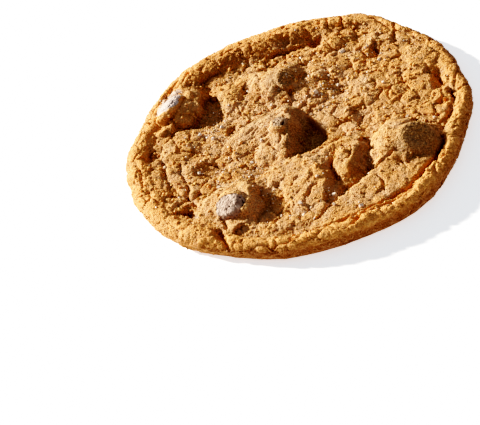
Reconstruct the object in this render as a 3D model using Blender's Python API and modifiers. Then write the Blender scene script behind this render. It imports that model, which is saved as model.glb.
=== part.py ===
"""A thin, crisp-edged cookie, 90 mm across, with chocolate chips breaking through its top.

The cookie stands in its own frame: +Z up, the origin at the middle of its flat bottom.
Sizes are worked in millimetres and turned to metres where an object is made.
"""
import math
import random

import bmesh
import bpy
import numpy as np
from mathutils import Matrix, Vector, noise

MM = 0.001

# Driving sizes, in millimetres.
RADIUS = 45.2          # mean radius of the outline at its widest
EDGE = 5.0             # height of the rolled rim
EDGE_ROUND = 2.3       # rounding of the rim, above and below
MIDDLE = 4.1           # thickness of the plain dough inside the rim
FLOOR = 1.2            # least thickness, under the deepest hollow
FLAT = 0.15            # points lower than this belong to the flat bottom
FINE = 0.55            # spacing of the dough's points before it is thinned
SHIFT = (0.44, 0.45)   # puts the middle of the outline's box on the origin
GAP = 0.3              # air between a chip and its pocket in the dough
DOUGH_FACES = 7600     # triangles left in the dough before chips and salt
CHIP_FACES = 380       # triangles of one chip

# Lobes and dents of the outline: direction in degrees, rise in mm, spread in degrees.
LOBES = (
    (-62.0, 1.7, 14.0),
    (-27.0, -1.1, 11.0),
    (3.0, -0.8, 11.0),
    (38.0, -0.6, 6.0),
    (53.0, 1.3, 10.0),
    (91.0, -0.8, 8.0),
    (121.0, 0.7, 8.0),
    (150.0, -1.0, 8.0),
    (167.0, 0.5, 6.0),
    (-125.0, -0.8, 12.0),
)

# Mounds over chips and in the dough: middle x, y, half length, half width,
# turn in degrees, rise above the plain dough, roundness (small is steep-sided),
# and how far the crest leans to the steep side.
MOUNDS = (
    (-8.4, -0.2, 9.6, 6.2, 16.0, 3.2, 0.75, 0.35),    # long hill over the middle chip
    (-4.4, -0.6, 5.4, 5.8, 0.0, 4.3, 0.55, 0.50),     # its steep peak
    (-20.2, -20.6, 7.2, 6.6, -10.0, 3.7, 0.52, 0.25), # front chip
    (24.2, -19.0, 8.8, 7.6, -20.0, 4.3, 0.55, 0.15),  # right chip
    (-28.6, 20.2, 8.8, 4.8, 46.0, 3.9, 0.62, 0.25),   # left chip, close to the rim
    (-25.6, 18.6, 6.0, 3.6, 62.0, 3.4, 0.55, 0.35),   # its inner flank
    (-3.4, 19.8, 7.6, 6.6, 35.0, 3.7, 0.60, 0.40),    # upper chip
    (-0.8, -20.8, 5.6, 7.2, -14.0, 2.7, 0.65, 0.50),  # long lump, left lobe
    (9.6, -15.4, 6.4, 6.0, 20.0, 3.1, 0.60, 0.30),    # long lump, right lobe
    (7.4, -20.6, 1.8, 5.0, 0.0, 2.8, 0.60, 0.50),     # finger between the lobes
    (-30.5, -28.0, 7.0, 6.0, 30.0, 0.9, 0.70, 0.0),   # pale plate at the lower left
    (-9.0, -34.5, 9.0, 3.4, -5.0, 0.7, 0.90, 0.0),    # low swell by the near rim
    (17.0, 31.0, 5.4, 4.6, 10.0, 0.9, 0.80, 0.3),     # lumps in the upper right
    (27.0, 24.5, 5.0, 4.2, -20.0, 0.8, 0.80, 0.3),
    (35.5, 12.0, 4.4, 6.4, 15.0, 0.8, 0.80, 0.3),
    (12.0, 20.5, 7.5, 5.0, 20.0, 0.7, 0.90, 0.3),
    (20.0, 7.0, 6.0, 6.0, 0.0, 0.5, 0.90, 0.3),
    (-15.0, 21.6, 4.6, 5.6, 15.0, 1.0, 0.80, 0.3),    # crags left of the upper chip
    (-30.0, 8.0, 6.0, 6.5, 10.0, 0.8, 0.80, 0.3),
    (-37.0, -9.0, 3.4, 9.0, 5.0, 0.7, 0.70, 0.3),
)
STEEP_SIDE = -42.0      # direction in which the mounds fall steeply, in degrees

# Hollows: middle x, y, half length, half width, turn, depth.
HOLLOWS = (
    (3.9, -1.6, 3.9, 7.4, 14.0, 2.9),             # right of the middle chip
    (-0.6, -7.6, 4.2, 2.6, 14.0, 2.0),
    (-18.9, 19.6, 3.6, 7.0, -4.0, 2.3),           # inside the left chip
    (-23.6, 12.2, 4.6, 2.6, 0.0, 1.6),
    (-12.4, -23.6, 3.0, 7.8, 14.0, 2.1),          # right of the front chip
    (6.4, 19.0, 3.2, 3.8, -10.0, 1.7),            # right of the upper chip
    (10.8, -22.8, 8.6, 3.0, 35.0, 2.3),           # valley above the near plate
    (5.2, -27.6, 2.4, 3.2, 0.0, 1.9),
    (4.4, -22.8, 1.8, 5.0, 0.0, 1.2),             # between the two lobes
    (33.2, -20.4, 2.4, 6.0, -22.0, 1.9),          # behind the right chip
    (-11.6, -11.6, 3.6, 3.2, 10.0, 1.5),
    (-24.0, -5.4, 5.0, 3.0, -25.0, 1.2),
    (-37.2, 7.4, 3.2, 2.2, 0.0, 1.5),
    (-31.6, -17.6, 1.8, 4.2, 6.0, 1.6),
    (-25.6, -32.6, 1.5, 4.6, 25.0, 1.4),
    (-5.2, -30.4, 3.2, 2.8, 0.0, 1.2),
    (13.4, 10.6, 3.0, 5.0, 20.0, 0.9),
    (17.0, -3.2, 3.2, 4.6, 10.0, 1.2),
    (37.6, 1.6, 2.2, 4.6, -20.0, 1.4),
    (25.6, 21.2, 1.5, 3.2, -20.0, 1.1),
    (-15.4, 6.4, 2.2, 3.6, 20.0, 1.1),
    (11.8, 32.0, 2.6, 2.2, 30.0, 1.2),
)

# Cracks that follow the rim: start and end direction in degrees, distance from the edge
# at the start and at the end, half width, depth.
RIM_CRACKS = (
    (-98.0, -60.0, 4.6, 5.4, 0.60, 2.4),
    (-66.0, -32.0, 6.0, 3.8, 0.95, 3.0),
    (-30.0, 2.0, 5.6, 4.4, 0.70, 1.5),
    (24.0, 52.0, 3.2, 2.6, 0.60, 1.2),
    (128.0, 158.0, 2.4, 2.8, 0.55, 1.2),
    (170.0, 200.0, 3.4, 4.4, 0.55, 1.4),
    (174.0, 212.0, 11.0, 12.0, 0.70, 1.5),
    (60.0, 132.0, 11.5, 10.5, 1.50, 1.8),
)

# The plate at the near edge: a slab right of a slanting step.
STEP_FROM = (3.0, -33.4)
STEP_TO = (20.0, -21.6)
STEP_RISE = 1.0

# Chips: middle x, y, z, half sizes, turn about Z, then tilt towards a direction.
CHIPS = {
    "chip_front": (-21.1, -23.0, 5.3, 4.2, 4.0, 2.8, 20.0, 24.0, -112.0),
    "chip_left": (-29.8, 21.6, 5.4, 5.3, 3.0, 2.3, 45.0, 34.0, 138.0),
    "chip_middle": (-3.9, -0.5, 5.9, 2.7, 2.7, 2.8, 0.0, 8.0, -150.0),
    "chip_right": (27.4, -21.2, 5.0, 5.6, 5.1, 2.9, -35.0, 27.0, -50.0),
    "chip_upper": (1.0, 17.9, 4.8, 2.7, 3.5, 2.7, 30.0, 38.0, -40.0),
}

# The largest salt and sugar crystals that show: x, y, size.
CRYSTALS = (
    (17.4, 24.6, 1.7), (25.6, 16.8, 1.6), (-24.2, 9.6, 1.5), (-18.2, 9.8, 1.4),
    (-21.2, 6.4, 1.2), (-34.8, 1.6, 1.5), (-23.0, -13.4, 1.5), (4.6, 3.6, 1.3),
    (7.4, 11.0, 1.3), (14.2, 4.6, 1.4), (13.4, 12.2, 1.2), (-4.8, -29.8, 1.4),
    (-4.9, -33.0, 1.2), (1.2, -32.0, 1.4), (2.8, -34.2, 1.3), (8.8, -37.6, 1.4),
    (-2.6, -31.8, 1.3), (3.6, -29.6, 1.5), (6.6, 28.0, 1.1), (33.0, -13.2, 1.1),
)
MORE_CRYSTALS = 16
CRYSTAL_SEED = 7


def outline(angle):
    """Radius of the cookie in a direction given in degrees."""
    radius = np.full_like(angle, RADIUS)
    for direction, rise, spread in LOBES:
        turn = (angle - direction + 180.0) % 360.0 - 180.0
        radius = radius + rise * np.exp(-(turn / spread) ** 2)
    return radius


def footprint(x, y, middle, half, turn, lean=0.0):
    """1 in the middle of an oval, 0 at its edge and beyond, highest towards STEEP_SIDE."""
    c, s = math.cos(math.radians(turn)), math.sin(math.radians(turn))
    along = ((x - middle[0]) * c + (y - middle[1]) * s) / half[0]
    across = ((y - middle[1]) * c - (x - middle[0]) * s) / half[1]
    steep = math.radians(STEEP_SIDE - turn)
    forward = along * math.cos(steep) + across * math.sin(steep)
    aside = across * math.cos(steep) - along * math.sin(steep)
    forward = (forward - lean) / np.where(forward > lean, 1.0 - lean, 1.0 + lean)
    return np.clip(1.0 - forward * forward - aside * aside, 0.0, 1.0)


def smooth(low, high, value):
    """0 below low, 1 above high, and a smooth rise between."""
    t = np.clip((value - low) / (high - low), 0.0, 1.0)
    return t * t * (3.0 - 2.0 * t)


def wander(x, y, size, layer):
    """Soft seeded unevenness between -1 and 1, with waves about size mm long."""
    points = zip((x / size).tolist(), (y / size).tolist())
    return np.array([noise.noise(Vector((u, v, layer))) for u, v in points])


def broken(points, layer):
    """Broken lumps one unit wide: each one's height from 0 to 1, and how far the cracks are."""
    heights = np.empty(len(points))
    cracks = np.empty(len(points))
    for i, point in enumerate(points.tolist()):
        away, middles = noise.voronoi(Vector((point[0], point[1], point[2] + layer)))
        heights[i] = noise.cell(middles[0] * 7.3)
        cracks[i] = away[1] - away[0]
    return heights, cracks


def crags(x, y, angle, inward, size, layer):
    """Lumps about size mm wide, drawn out along the rim near it, with cracks between."""
    bend = 0.35 * size * wander(x, y, 1.6 * size, layer + 20.0)
    flat = np.stack(((x + bend) / size, (y - bend) / size, np.zeros_like(x)), 1)
    around = RADIUS / (1.7 * size)
    turn = np.radians(angle)
    ring = np.stack((around * np.cos(turn), around * np.sin(turn), (inward + bend) / size), 1)
    near_rim = (1.0 - smooth(9.0, 15.0, inward))[:, None]
    heights, cracks = broken(flat, layer)
    ring_heights, ring_cracks = broken(ring, layer + 3.0)
    share = near_rim[:, 0]
    heights = heights + share * (ring_heights - heights)
    cracks = cracks + share * (ring_cracks - cracks)
    return heights - 0.5, 1.0 - smooth(0.0, 0.34, cracks)


def rim_rise(angle, inward):
    """The rolled rim above the plain dough, by direction and distance from the edge."""
    far_side = np.exp(-((angle - 98.0) / 36.0) ** 2)
    near_side = np.exp(-((angle + 78.0) / 40.0) ** 2)
    crest = 2.6 + 0.6 * far_side
    foot = 6.0 + 4.2 * far_side - 1.2 * near_side
    right_side = np.exp(-((angle - 22.0) / 34.0) ** 2)
    height = (EDGE - MIDDLE) * (1.0 - 0.7 * right_side) + 1.1 * far_side + 0.6 * near_side
    return height * (1.0 - smooth(crest, foot, inward))


def relief(x, y):
    """Height of the top over the bottom plane at x, y, all in mm."""
    angle = np.degrees(np.arctan2(y, x))
    inward = outline(angle) - np.hypot(x, y)
    top = MIDDLE + 0.30 * wander(x, y, 13.0, 0.5) + rim_rise(angle, inward)

    rise = np.zeros_like(x)
    skin = np.zeros_like(x)
    for cx, cy, length, width, turn, height, power, lean in MOUNDS:
        inside = footprint(x, y, (cx, cy), (length, width), turn, lean)
        rise = np.maximum(rise, height * inside ** power)
        if height > 2.0:
            skin = np.maximum(skin, smooth(0.0, 0.4, inside))

    step = np.array((STEP_TO[0] - STEP_FROM[0], STEP_TO[1] - STEP_FROM[1]))
    step = step / np.linalg.norm(step)
    beyond = (x - STEP_FROM[0]) * step[1] - (y - STEP_FROM[1]) * step[0]
    beyond = beyond + 0.9 * wander(x, y, 3.0, 4.5)
    sector = smooth(-100.0, -88.0, angle) * (1.0 - smooth(-48.0, -38.0, angle))
    plate = smooth(-0.4, 0.4, beyond) * sector * smooth(4.4, 5.0, inward)
    rise = np.maximum(rise, STEP_RISE * plate)
    top = top + rise

    for cx, cy, length, width, turn, depth in HOLLOWS:
        inside = footprint(x, y, (cx, cy), (length, width), turn)
        top = top - depth * inside ** 0.7 * (1.0 - skin) * (1.0 - plate)

    shake = 0.5 * wander(x, y, 4.0, 9.5)
    for start, end, first, last, half, depth in RIM_CRACKS:
        turn = (angle - start) % 360.0
        share = np.clip(turn / (end - start), 0.0, 1.0)
        within = np.where(turn <= end - start, np.sin(math.pi * share) ** 0.35, 0.0)
        offset = (inward + shake - (first + (last - first) * share)) / half
        top = top - depth * within * np.exp(-offset * offset)

    plain = 1.0 - 0.7 * np.maximum(skin, plate)
    worn = 0.65 + 0.7 * wander(x, y, 9.0, 12.5)
    heights, cracks = crags(x, y, angle, inward, 3.6, 1.5)
    top = top + plain * worn * (0.75 * heights - 0.75 * cracks)
    heights, cracks = crags(x, y, angle, inward, 1.8, 5.5)
    top = top + (0.4 + 0.6 * plain) * (0.22 * heights - 0.24 * cracks)
    return np.maximum(top, FLOOR)


def take_modifiers(obj):
    """Leaves the object with the mesh that its modifiers make."""
    evaluated = obj.evaluated_get(bpy.context.evaluated_depsgraph_get())
    mesh = bpy.data.meshes.new_from_object(evaluated)
    obj.modifiers.clear()
    old = obj.data
    obj.data = mesh
    bpy.data.meshes.remove(old)


def points_of(obj):
    """The object's points as an array, in mm."""
    flat = np.empty(len(obj.data.vertices) * 3)
    obj.data.vertices.foreach_get("co", flat)
    return flat.reshape(-1, 3) / MM


def move_points(obj, points):
    """Puts the object's points where an array in mm says."""
    obj.data.vertices.foreach_set("co", (points * MM).ravel())
    obj.data.update()


def thin_out(obj, faces):
    """Takes the least useful triangles away until about this many are left."""
    now = sum(len(polygon.vertices) - 2 for polygon in obj.data.polygons)
    thin = obj.modifiers.new("thin_out", "DECIMATE")
    thin.ratio = min(1.0, faces / now)
    take_modifiers(obj)


def settle(obj, collection):
    """Applies the object's place and files it in its collection."""
    obj.data.transform(obj.matrix_world)
    obj.matrix_world = Matrix.Identity(4)
    for owner in list(obj.users_collection):
        owner.objects.unlink(obj)
    collection.objects.link(obj)


def finish(name, colour, roughness):
    """A plain Principled material."""
    material = bpy.data.materials.new(name)
    material.use_nodes = True
    shader = material.node_tree.nodes["Principled BSDF"]
    shader.inputs["Base Color"].default_value = (*colour, 1.0)
    shader.inputs["Roughness"].default_value = roughness
    shader.inputs["Metallic"].default_value = 0.0
    return material


def make_dough(collection):
    """The baked dough: a round slab with a rolled rim, mounds, cracks and crags."""
    bpy.ops.mesh.primitive_cylinder_add(
        vertices=200, radius=RADIUS * MM, depth=EDGE * MM, location=(0.0, 0.0, EDGE * MM / 2))
    dough = bpy.context.active_object
    dough.name = "dough"
    settle(dough, collection)
    rounding = dough.modifiers.new("round_edge", "BEVEL")
    rounding.width = EDGE_ROUND * MM
    rounding.segments = 6
    rounding.limit_method = "ANGLE"
    remesh = dough.modifiers.new("even_points", "REMESH")
    remesh.mode = "VOXEL"
    remesh.voxel_size = FINE * MM
    take_modifiers(dough)

    points = points_of(dough)
    x, y, z = points.T
    angle = np.degrees(np.arctan2(y, x))
    side = smooth(RADIUS - 3.0, RADIUS - 0.6, np.hypot(x, y))
    grow = outline(angle) / RADIUS
    rough = wander(x + z, y - z, 2.6, 2.5) * 0.45 + wander(x - z, y + z, 6.0, 3.5) * 0.35
    grow = grow + side * rough * smooth(0.0, 1.2, z) / RADIUS
    x, y = x * grow, y * grow
    half = EDGE / 2.0
    upper = np.clip((z - half) / half, 0.0, 1.0)
    z = np.where(z > half, half + upper * (relief(x, y) - half), z)
    move_points(dough, np.stack((x, y, z), 1))
    thin_out(dough, DOUGH_FACES)
    points = points_of(dough)
    points[:, 2] = np.where(points[:, 2] < FLAT, 0.0, points[:, 2])
    move_points(dough, points)
    return dough


def make_chip(name, spec, collection):
    """A chocolate chip: a pebble with uneven sides, tilted in the dough."""
    cx, cy, cz, long, wide, thick, turn, tilt, towards = spec
    bpy.ops.mesh.primitive_ico_sphere_add(subdivisions=4, radius=1.0)
    chip = bpy.context.active_object
    chip.name = name
    points = points_of(chip) * MM
    for i, point in enumerate(points):
        swell = 1.0 + 0.10 * noise.noise(Vector(point) * 1.4 + Vector((cx, cy, 0.0)))
        swell += 0.03 * noise.noise(Vector(point) * 4.0 + Vector((cy, cx, 0.0)))
        points[i] = point * swell
    points[:, 2] = np.where(points[:, 2] > 0.7, 0.7 + 0.55 * (points[:, 2] - 0.7), points[:, 2])
    points = points * np.array((long, wide, thick))
    lean = Matrix.Rotation(math.radians(tilt), 3, Vector((-math.sin(math.radians(towards)),
                                                          math.cos(math.radians(towards)), 0.0)))
    spin = Matrix.Rotation(math.radians(turn), 3, "Z")
    points = points @ np.array(lean @ spin).T + np.array((cx, cy, cz))
    move_points(chip, points)
    settle(chip, collection)
    thin_out(chip, CHIP_FACES)
    return chip


def make_pocket(chip, cutters):
    """The hollow that a chip sits in: the chip grown by the gap on all sides."""
    pocket = chip.copy()
    pocket.data = chip.data.copy()
    pocket.name = chip.name + "_pocket"
    cutters.objects.link(pocket)
    normals = np.empty(len(pocket.data.vertices) * 3)
    pocket.data.vertices.foreach_get("normal", normals)
    move_points(pocket, points_of(pocket) + GAP * normals.reshape(-1, 3))
    pocket.hide_render = True
    pocket.display_type = "WIRE"
    return pocket


def combine(obj, other, operation):
    """A Boolean with one object or with a whole collection, applied."""
    boolean = obj.modifiers.new("combine", "BOOLEAN")
    boolean.operation = operation
    if isinstance(other, bpy.types.Collection):
        boolean.operand_type = "COLLECTION"
        boolean.collection = other
        boolean.solver = "MANIFOLD"
    else:
        boolean.object = other
    take_modifiers(obj)


def drop_scraps(obj):
    """Removes crumbs of dough that a cut left loose: all but the largest body."""
    mesh = bmesh.new()
    mesh.from_mesh(obj.data)
    bodies = []
    waiting = set(mesh.verts)
    while waiting:
        body = {waiting.pop()}
        edge = list(body)
        while edge:
            vertex = edge.pop()
            for link in vertex.link_edges:
                other = link.other_vert(vertex)
                if other not in body:
                    body.add(other)
                    edge.append(other)
        waiting -= body
        bodies.append(body)
    largest = max(bodies, key=len)
    scraps = [vertex for vertex in mesh.verts if vertex not in largest]
    bmesh.ops.delete(mesh, geom=scraps, context="VERTS")
    mesh.to_mesh(obj.data)
    mesh.free()


def near_chip(x, y, margin):
    """Whether a spot is over a chip or within the margin of one."""
    for cx, cy, cz, long, wide, thick, turn, tilt, towards in CHIPS.values():
        if math.hypot(x - cx, y - cy) < max(long, wide) + margin:
            return True
    return False


def crystal_spots():
    """Where the crystals lie: those chosen above and a seeded scatter."""
    draw = random.Random(CRYSTAL_SEED)
    spots = [spot for spot in CRYSTALS if not near_chip(spot[0], spot[1], spot[2])]
    while len(spots) < len(CRYSTALS) + MORE_CRYSTALS:
        reach = 36.0 * math.sqrt(draw.random())
        turn = draw.uniform(0.0, 2.0 * math.pi)
        x, y = reach * math.cos(turn), reach * math.sin(turn)
        clear = all(math.hypot(x - spot[0], y - spot[1]) > 3.5 for spot in spots)
        if clear and not near_chip(x, y, 1.5):
            spots.append((x, y, draw.uniform(0.9, 1.3)))
    return spots


def make_crystals(dough, collection):
    """Salt crystals: small uneven blocks, sunk by a third of their height."""
    draw = random.Random(CRYSTAL_SEED + 1)
    for x, y, size in crystal_spots():
        start = Vector((x * MM, y * MM, 0.03))
        hit, place, normal, index = dough.ray_cast(start, Vector((0.0, 0.0, -1.0)))
        bpy.ops.mesh.primitive_cube_add(size=size * MM, location=place + normal * size * 0.15 * MM)
        crystal = bpy.context.active_object
        crystal.name = "crystal"
        crystal.rotation_euler = [draw.uniform(0.0, math.pi) for axis in range(3)]
        crystal.scale = (draw.uniform(0.8, 1.1), draw.uniform(0.7, 1.0), draw.uniform(0.6, 0.8))
        bpy.context.view_layer.update()
        settle(crystal, collection)


def new_collection(name):
    """A collection in the scene."""
    collection = bpy.data.collections.new(name)
    bpy.context.scene.collection.children.link(collection)
    return collection


for old in list(bpy.data.objects):
    bpy.data.objects.remove(old)

cookie = new_collection("thin_cookie")
cutters = new_collection("cutters")
salt = new_collection("salt")

dough = make_dough(cookie)
dough.data.materials.append(finish("baked_dough", (0.48, 0.25, 0.09), 0.75))
make_crystals(dough, salt)
for chip_name, chip_spec in CHIPS.items():
    chip = make_chip(chip_name, chip_spec, cookie)
    chip.data.materials.append(finish(chip_name + "_chocolate", (0.22, 0.14, 0.10), 0.5))
    combine(dough, make_pocket(chip, cutters), "DIFFERENCE")
combine(dough, salt, "UNION")
drop_scraps(dough)
for crystal in list(salt.objects):
    bpy.data.objects.remove(crystal)
bpy.data.collections.remove(salt)
for node in cookie.objects:
    node.data.transform(Matrix.Translation((SHIFT[0] * MM, SHIFT[1] * MM, 0.0)))
    node.data.shade_smooth()
    node.data.set_sharp_from_angle(angle=math.radians(50.0))
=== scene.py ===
# %% [markdown]
# # A thin chocolate chip cookie
# The real thing is a drop-baked cookie, 90 mm across and 9 mm tall. The dough spreads in
# the oven, its rim rolls over and browns first, and its top cracks into crags and crumbs
# while the chocolate chips push up small hills. This lesson dresses the plain solids with
# that surface. A baked crumb could be painted on as bump, but low light shows at once that
# bump casts no shadows, so everything down to about 0.4 mm is real relief here.

# %% Load the plain solids
import math
import random

import bpy
import numpy as np
from mathutils import Matrix, Vector
from mathutils.bvhtree import BVHTree


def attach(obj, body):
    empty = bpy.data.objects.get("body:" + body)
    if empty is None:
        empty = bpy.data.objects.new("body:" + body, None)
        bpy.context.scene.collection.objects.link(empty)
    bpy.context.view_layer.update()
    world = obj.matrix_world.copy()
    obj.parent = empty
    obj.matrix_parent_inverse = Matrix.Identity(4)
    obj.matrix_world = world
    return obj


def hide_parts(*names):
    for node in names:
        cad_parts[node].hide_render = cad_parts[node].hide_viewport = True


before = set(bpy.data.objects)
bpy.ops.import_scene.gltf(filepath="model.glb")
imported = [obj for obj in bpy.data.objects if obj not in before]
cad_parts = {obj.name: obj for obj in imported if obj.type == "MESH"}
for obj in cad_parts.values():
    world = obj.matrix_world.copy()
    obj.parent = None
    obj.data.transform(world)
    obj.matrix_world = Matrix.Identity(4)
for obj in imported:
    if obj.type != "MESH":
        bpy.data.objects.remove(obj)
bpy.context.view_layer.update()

MM = 0.001
print("nodes:", ", ".join(sorted(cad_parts)))

# %% [markdown]
# ## Camera
# The cookie is seen from 38.5 degrees above its plate, through a long lens, with the
# picture rolled by 18 degrees. The lens aims past the cookie, so that the cookie sits in the
# upper right of the frame. The lens could be shifted for that, but the camera is turned
# instead, because then it keeps its picture when it is taken round the cookie.

# %% Camera
PICTURE = (480, 425)                  # pixels that the view was measured in
LOOK_DOWN = 38.5                      # degrees
ROLL = 18.06                          # degrees
DISTANCE = 560.0                      # mm
FOCAL = 3.969 * DISTANCE              # in pixels: 3.97 pixels a mm at the target
TARGET = Vector((0.25, -2.45, 2.3))   # mm
TARGET_AT = (300.0, 139.4)            # where the target shows in the picture

camera = bpy.data.objects.new("camera", bpy.data.cameras.new("camera"))
bpy.context.scene.collection.objects.link(camera)
bpy.context.scene.camera = camera
camera.data.sensor_width = 36.0
camera.data.lens = FOCAL / PICTURE[0] * camera.data.sensor_width
camera.data.clip_start = 0.05
camera.data.clip_end = 20.0
tipped = Matrix.Rotation(math.radians(90.0 - LOOK_DOWN), 3, "X")
straight = tipped @ Matrix.Rotation(math.radians(-ROLL), 3, "Z")
seen_at = Vector((
    (TARGET_AT[0] - PICTURE[0] / 2) / FOCAL, (PICTURE[1] / 2 - TARGET_AT[1]) / FOCAL, -1.0))
aim = seen_at.rotation_difference(Vector((0.0, 0.0, -1.0))).to_matrix()
stands_at = TARGET + straight @ Vector((0.0, 0.0, 1.0)) * DISTANCE
camera.matrix_world = Matrix.Translation(stands_at * MM) @ (straight @ aim).to_4x4()
print("lens", round(camera.data.lens, 1), "mm")

# %% [markdown]
# ## Light
# One small bright lamp low on the left draws every crumb with its shadow, as late sunlight
# through a window would. A large soft lamp would be kinder, but it would flatten the crust.
# A weak pale sky fills the shadows.

# %% Light
SUN_FROM = 142.0                  # degrees round from +X
SUN_UP = 21.0                     # degrees
SUN_STRENGTH, SKY_STRENGTH = 10.4, 0.38
SUN_WIDTH = 3.5                   # degrees, which blurs the shadows' edges a little

sun = bpy.data.objects.new("sun", bpy.data.lights.new("sun", "SUN"))
bpy.context.scene.collection.objects.link(sun)
sun.data.energy = SUN_STRENGTH
sun.data.angle = math.radians(SUN_WIDTH)
sun.data.color = (1.0, 0.95, 0.88)
towards_sun = Vector((math.cos(math.radians(SUN_FROM)) * math.cos(math.radians(SUN_UP)),
                      math.sin(math.radians(SUN_FROM)) * math.cos(math.radians(SUN_UP)),
                      math.sin(math.radians(SUN_UP))))
sun.rotation_euler = towards_sun.to_track_quat("Z", "Y").to_euler()

sky = bpy.data.worlds.new("studio")
bpy.context.scene.world = sky
sky.use_nodes = True
sky.node_tree.nodes["Background"].inputs["Color"].default_value = (0.86, 0.95, 1.10, 1.0)
sky.node_tree.nodes["Background"].inputs["Strength"].default_value = SKY_STRENGTH
print("sun", SUN_STRENGTH, "and sky", SKY_STRENGTH)

# %% [markdown]
# ## The picture's tones
# A product photo is printed with contrast: its darkest tones are pressed towards black and
# its brightest ones are held back. Because each colour channel is pressed by itself, warm
# shadows turn a deep red-brown. The same tone curve is set on the view, not on the lamps, so
# the cookie's own colours stay those of baked dough.

# %% Tones
# Linear light, and how bright it is shown.
TONES = ((0.03, 0.0), (0.056, 0.008), (0.087, 0.03), (0.168, 0.13), (0.3, 0.3), (0.83, 0.75),
         (1.33, 0.95), (1.6, 1.0))
view = bpy.context.scene.view_settings
view.view_transform = "Standard"
view.use_curve_mapping = True
view.curve_mapping.white_level = (TONES[-1][0],) * 3
view.curve_mapping.extend = "HORIZONTAL"
curve = view.curve_mapping.curves[3]
while len(curve.points) < len(TONES):
    curve.points.new(0.5, 0.5)
for point, (light, shown) in zip(sorted(curve.points, key=lambda p: p.location.x), TONES):
    point.location = (light / TONES[-1][0], shown)
view.curve_mapping.update()
print("tone curve of", len(curve.points), "points")

# %% [markdown]
# ## Small helpers
# One function adds a mesh, and one makes a number short enough to print. Colours are picked
# as the screen shows them, and a function turns them to linear light. One more adds a node to
# a material, with its settings and links, and the last lays a list of tints over a colour,
# which three of the materials need.

# %% Meshes and numbers
def new_mesh(add, name="", **settings):
    """Adds a mesh with one of Blender's own tools and leaves it alone selected."""
    bpy.ops.object.select_all(action="DESELECT")
    add(**settings)
    piece = bpy.context.active_object
    piece.name = name or piece.name
    return piece


def short(value):
    """A number short enough to print."""
    return round(float(value), 2)


print("short numbers such as", short(math.pi))

# %% Colours and nodes
def colour(hexes):
    """A screen colour such as 'C8A060' in linear light."""
    parts = [int(hexes[i:i + 2], 16) / 255.0 for i in (0, 2, 4)]
    return tuple(((p + 0.055) / 1.055) ** 2.4 if p > 0.04045 else p / 12.92 for p in parts) + (1.0,)


def new_material(name):
    """An empty material with only its output."""
    material = bpy.data.materials.new(name)
    material.use_nodes = True
    material.node_tree.nodes.clear()
    return material


def node(material, kind, feeds=None, stops=(), **settings):
    """Adds a node to a material. A feed is a value or another node's output, and a stop is a
    place and a colour on a colour ramp."""
    new = material.node_tree.nodes.new(kind)
    for place, hexes in stops:
        stop = new.color_ramp.elements.new(place)
        stop.color = colour(hexes)
    if stops:
        new.color_ramp.elements.remove(new.color_ramp.elements[0])
        new.color_ramp.elements.remove(new.color_ramp.elements[-1])
    for name, value in settings.items():
        setattr(new, name, value)
    for name, value in (feeds or {}).items():
        if isinstance(value, bpy.types.NodeSocket):
            material.node_tree.links.new(value, new.inputs[name])
        else:
            new.inputs[name].default_value = value
    return new


def tinted(material, tint, tints):
    """Lays tints over a colour. Each is a number that is read, the range over which it works,
    the most that it tints, and its colour."""
    for source, low, high, most, hexes in tints:
        share = node(material, "ShaderNodeMapRange", {0: source, 1: low, 2: high, 3: 0.0, 4: most})
        tint = node(material, "ShaderNodeMix", {
            0: share.outputs[0], 6: tint, 7: colour(hexes)}, data_type="RGBA").outputs[2]
    return tint


print("half grey in linear light:", short(colour("808080")[0]))

# %% [markdown]
# ## Floor
# The cookie lies on plain white paper. The paper also glows a little, as if it were lit from
# behind, so it stays pale and even and shows nothing but the cookie's shadow.

# %% Floor
floor = new_mesh(
    bpy.ops.mesh.primitive_plane_add, "floor", size=4.0, location=(0.0, 0.0, -0.0001))
paper = new_material("backlit_white_paper")
shade = node(paper, "ShaderNodeBsdfDiffuse", {"Color": colour("F4F3F0")})
glow = node(paper, "ShaderNodeEmission", {"Color": colour("FFFFFF"), "Strength": 0.6})
lit = node(paper, "ShaderNodeAddShader", {0: shade.outputs[0], 1: glow.outputs[0]})
node(paper, "ShaderNodeOutputMaterial", {"Surface": lit.outputs[0]})
floor.data.materials.append(paper)
print("floor of", len(floor.data.polygons), "face")

# %% [markdown]
# ## A chart of heights
# The top of the cookie is worked out once, as a square chart with a height every 0.2 mm, and
# the mesh, the crumbs and the colours all read it. It could be sculpted by hand, but a chart
# keeps each hill where it was measured and comes out the same each time.

# %% Chart
PITCH = 0.2            # mm
CHART_REACH = 50.0     # mm
side = np.arange(-CHART_REACH, CHART_REACH + PITCH / 2, PITCH)
X, Y = np.meshgrid(side, side)


def smooth(low, high, value):
    """0 below low, 1 above high, and a smooth rise between."""
    t = np.clip((value - low) / (high - low), 0.0, 1.0)
    return t * t * (3.0 - 2.0 * t)


def soft_max(one, other, softness):
    """The higher of two heights, with a soft bend where they cross."""
    return 0.5 * (one + other + np.sqrt((one - other) ** 2 + softness))


def blur(chart, size):
    """The chart with everything finer than size mm smoothed away."""
    waves = np.fft.fftfreq(len(chart), PITCH)
    keep = np.exp(-2.0 * (math.pi * size * waves) ** 2)
    return np.real(np.fft.ifft2(np.fft.fft2(chart) * keep[:, None] * keep[None, :]))


def read(chart, x, y):
    """The chart's value at any place, between its points."""
    u = np.clip((x - side[0]) / PITCH, 0.0, len(side) - 1.001)
    v = np.clip((y - side[0]) / PITCH, 0.0, len(side) - 1.001)
    i, j = u.astype(int), v.astype(int)
    u, v = u - i, v - j
    low = chart[j, i] * (1 - u) + chart[j, i + 1] * u
    high = chart[j + 1, i] * (1 - u) + chart[j + 1, i + 1] * u
    return low * (1 - v) + high * v


print("chart of", X.size, "heights")

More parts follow.
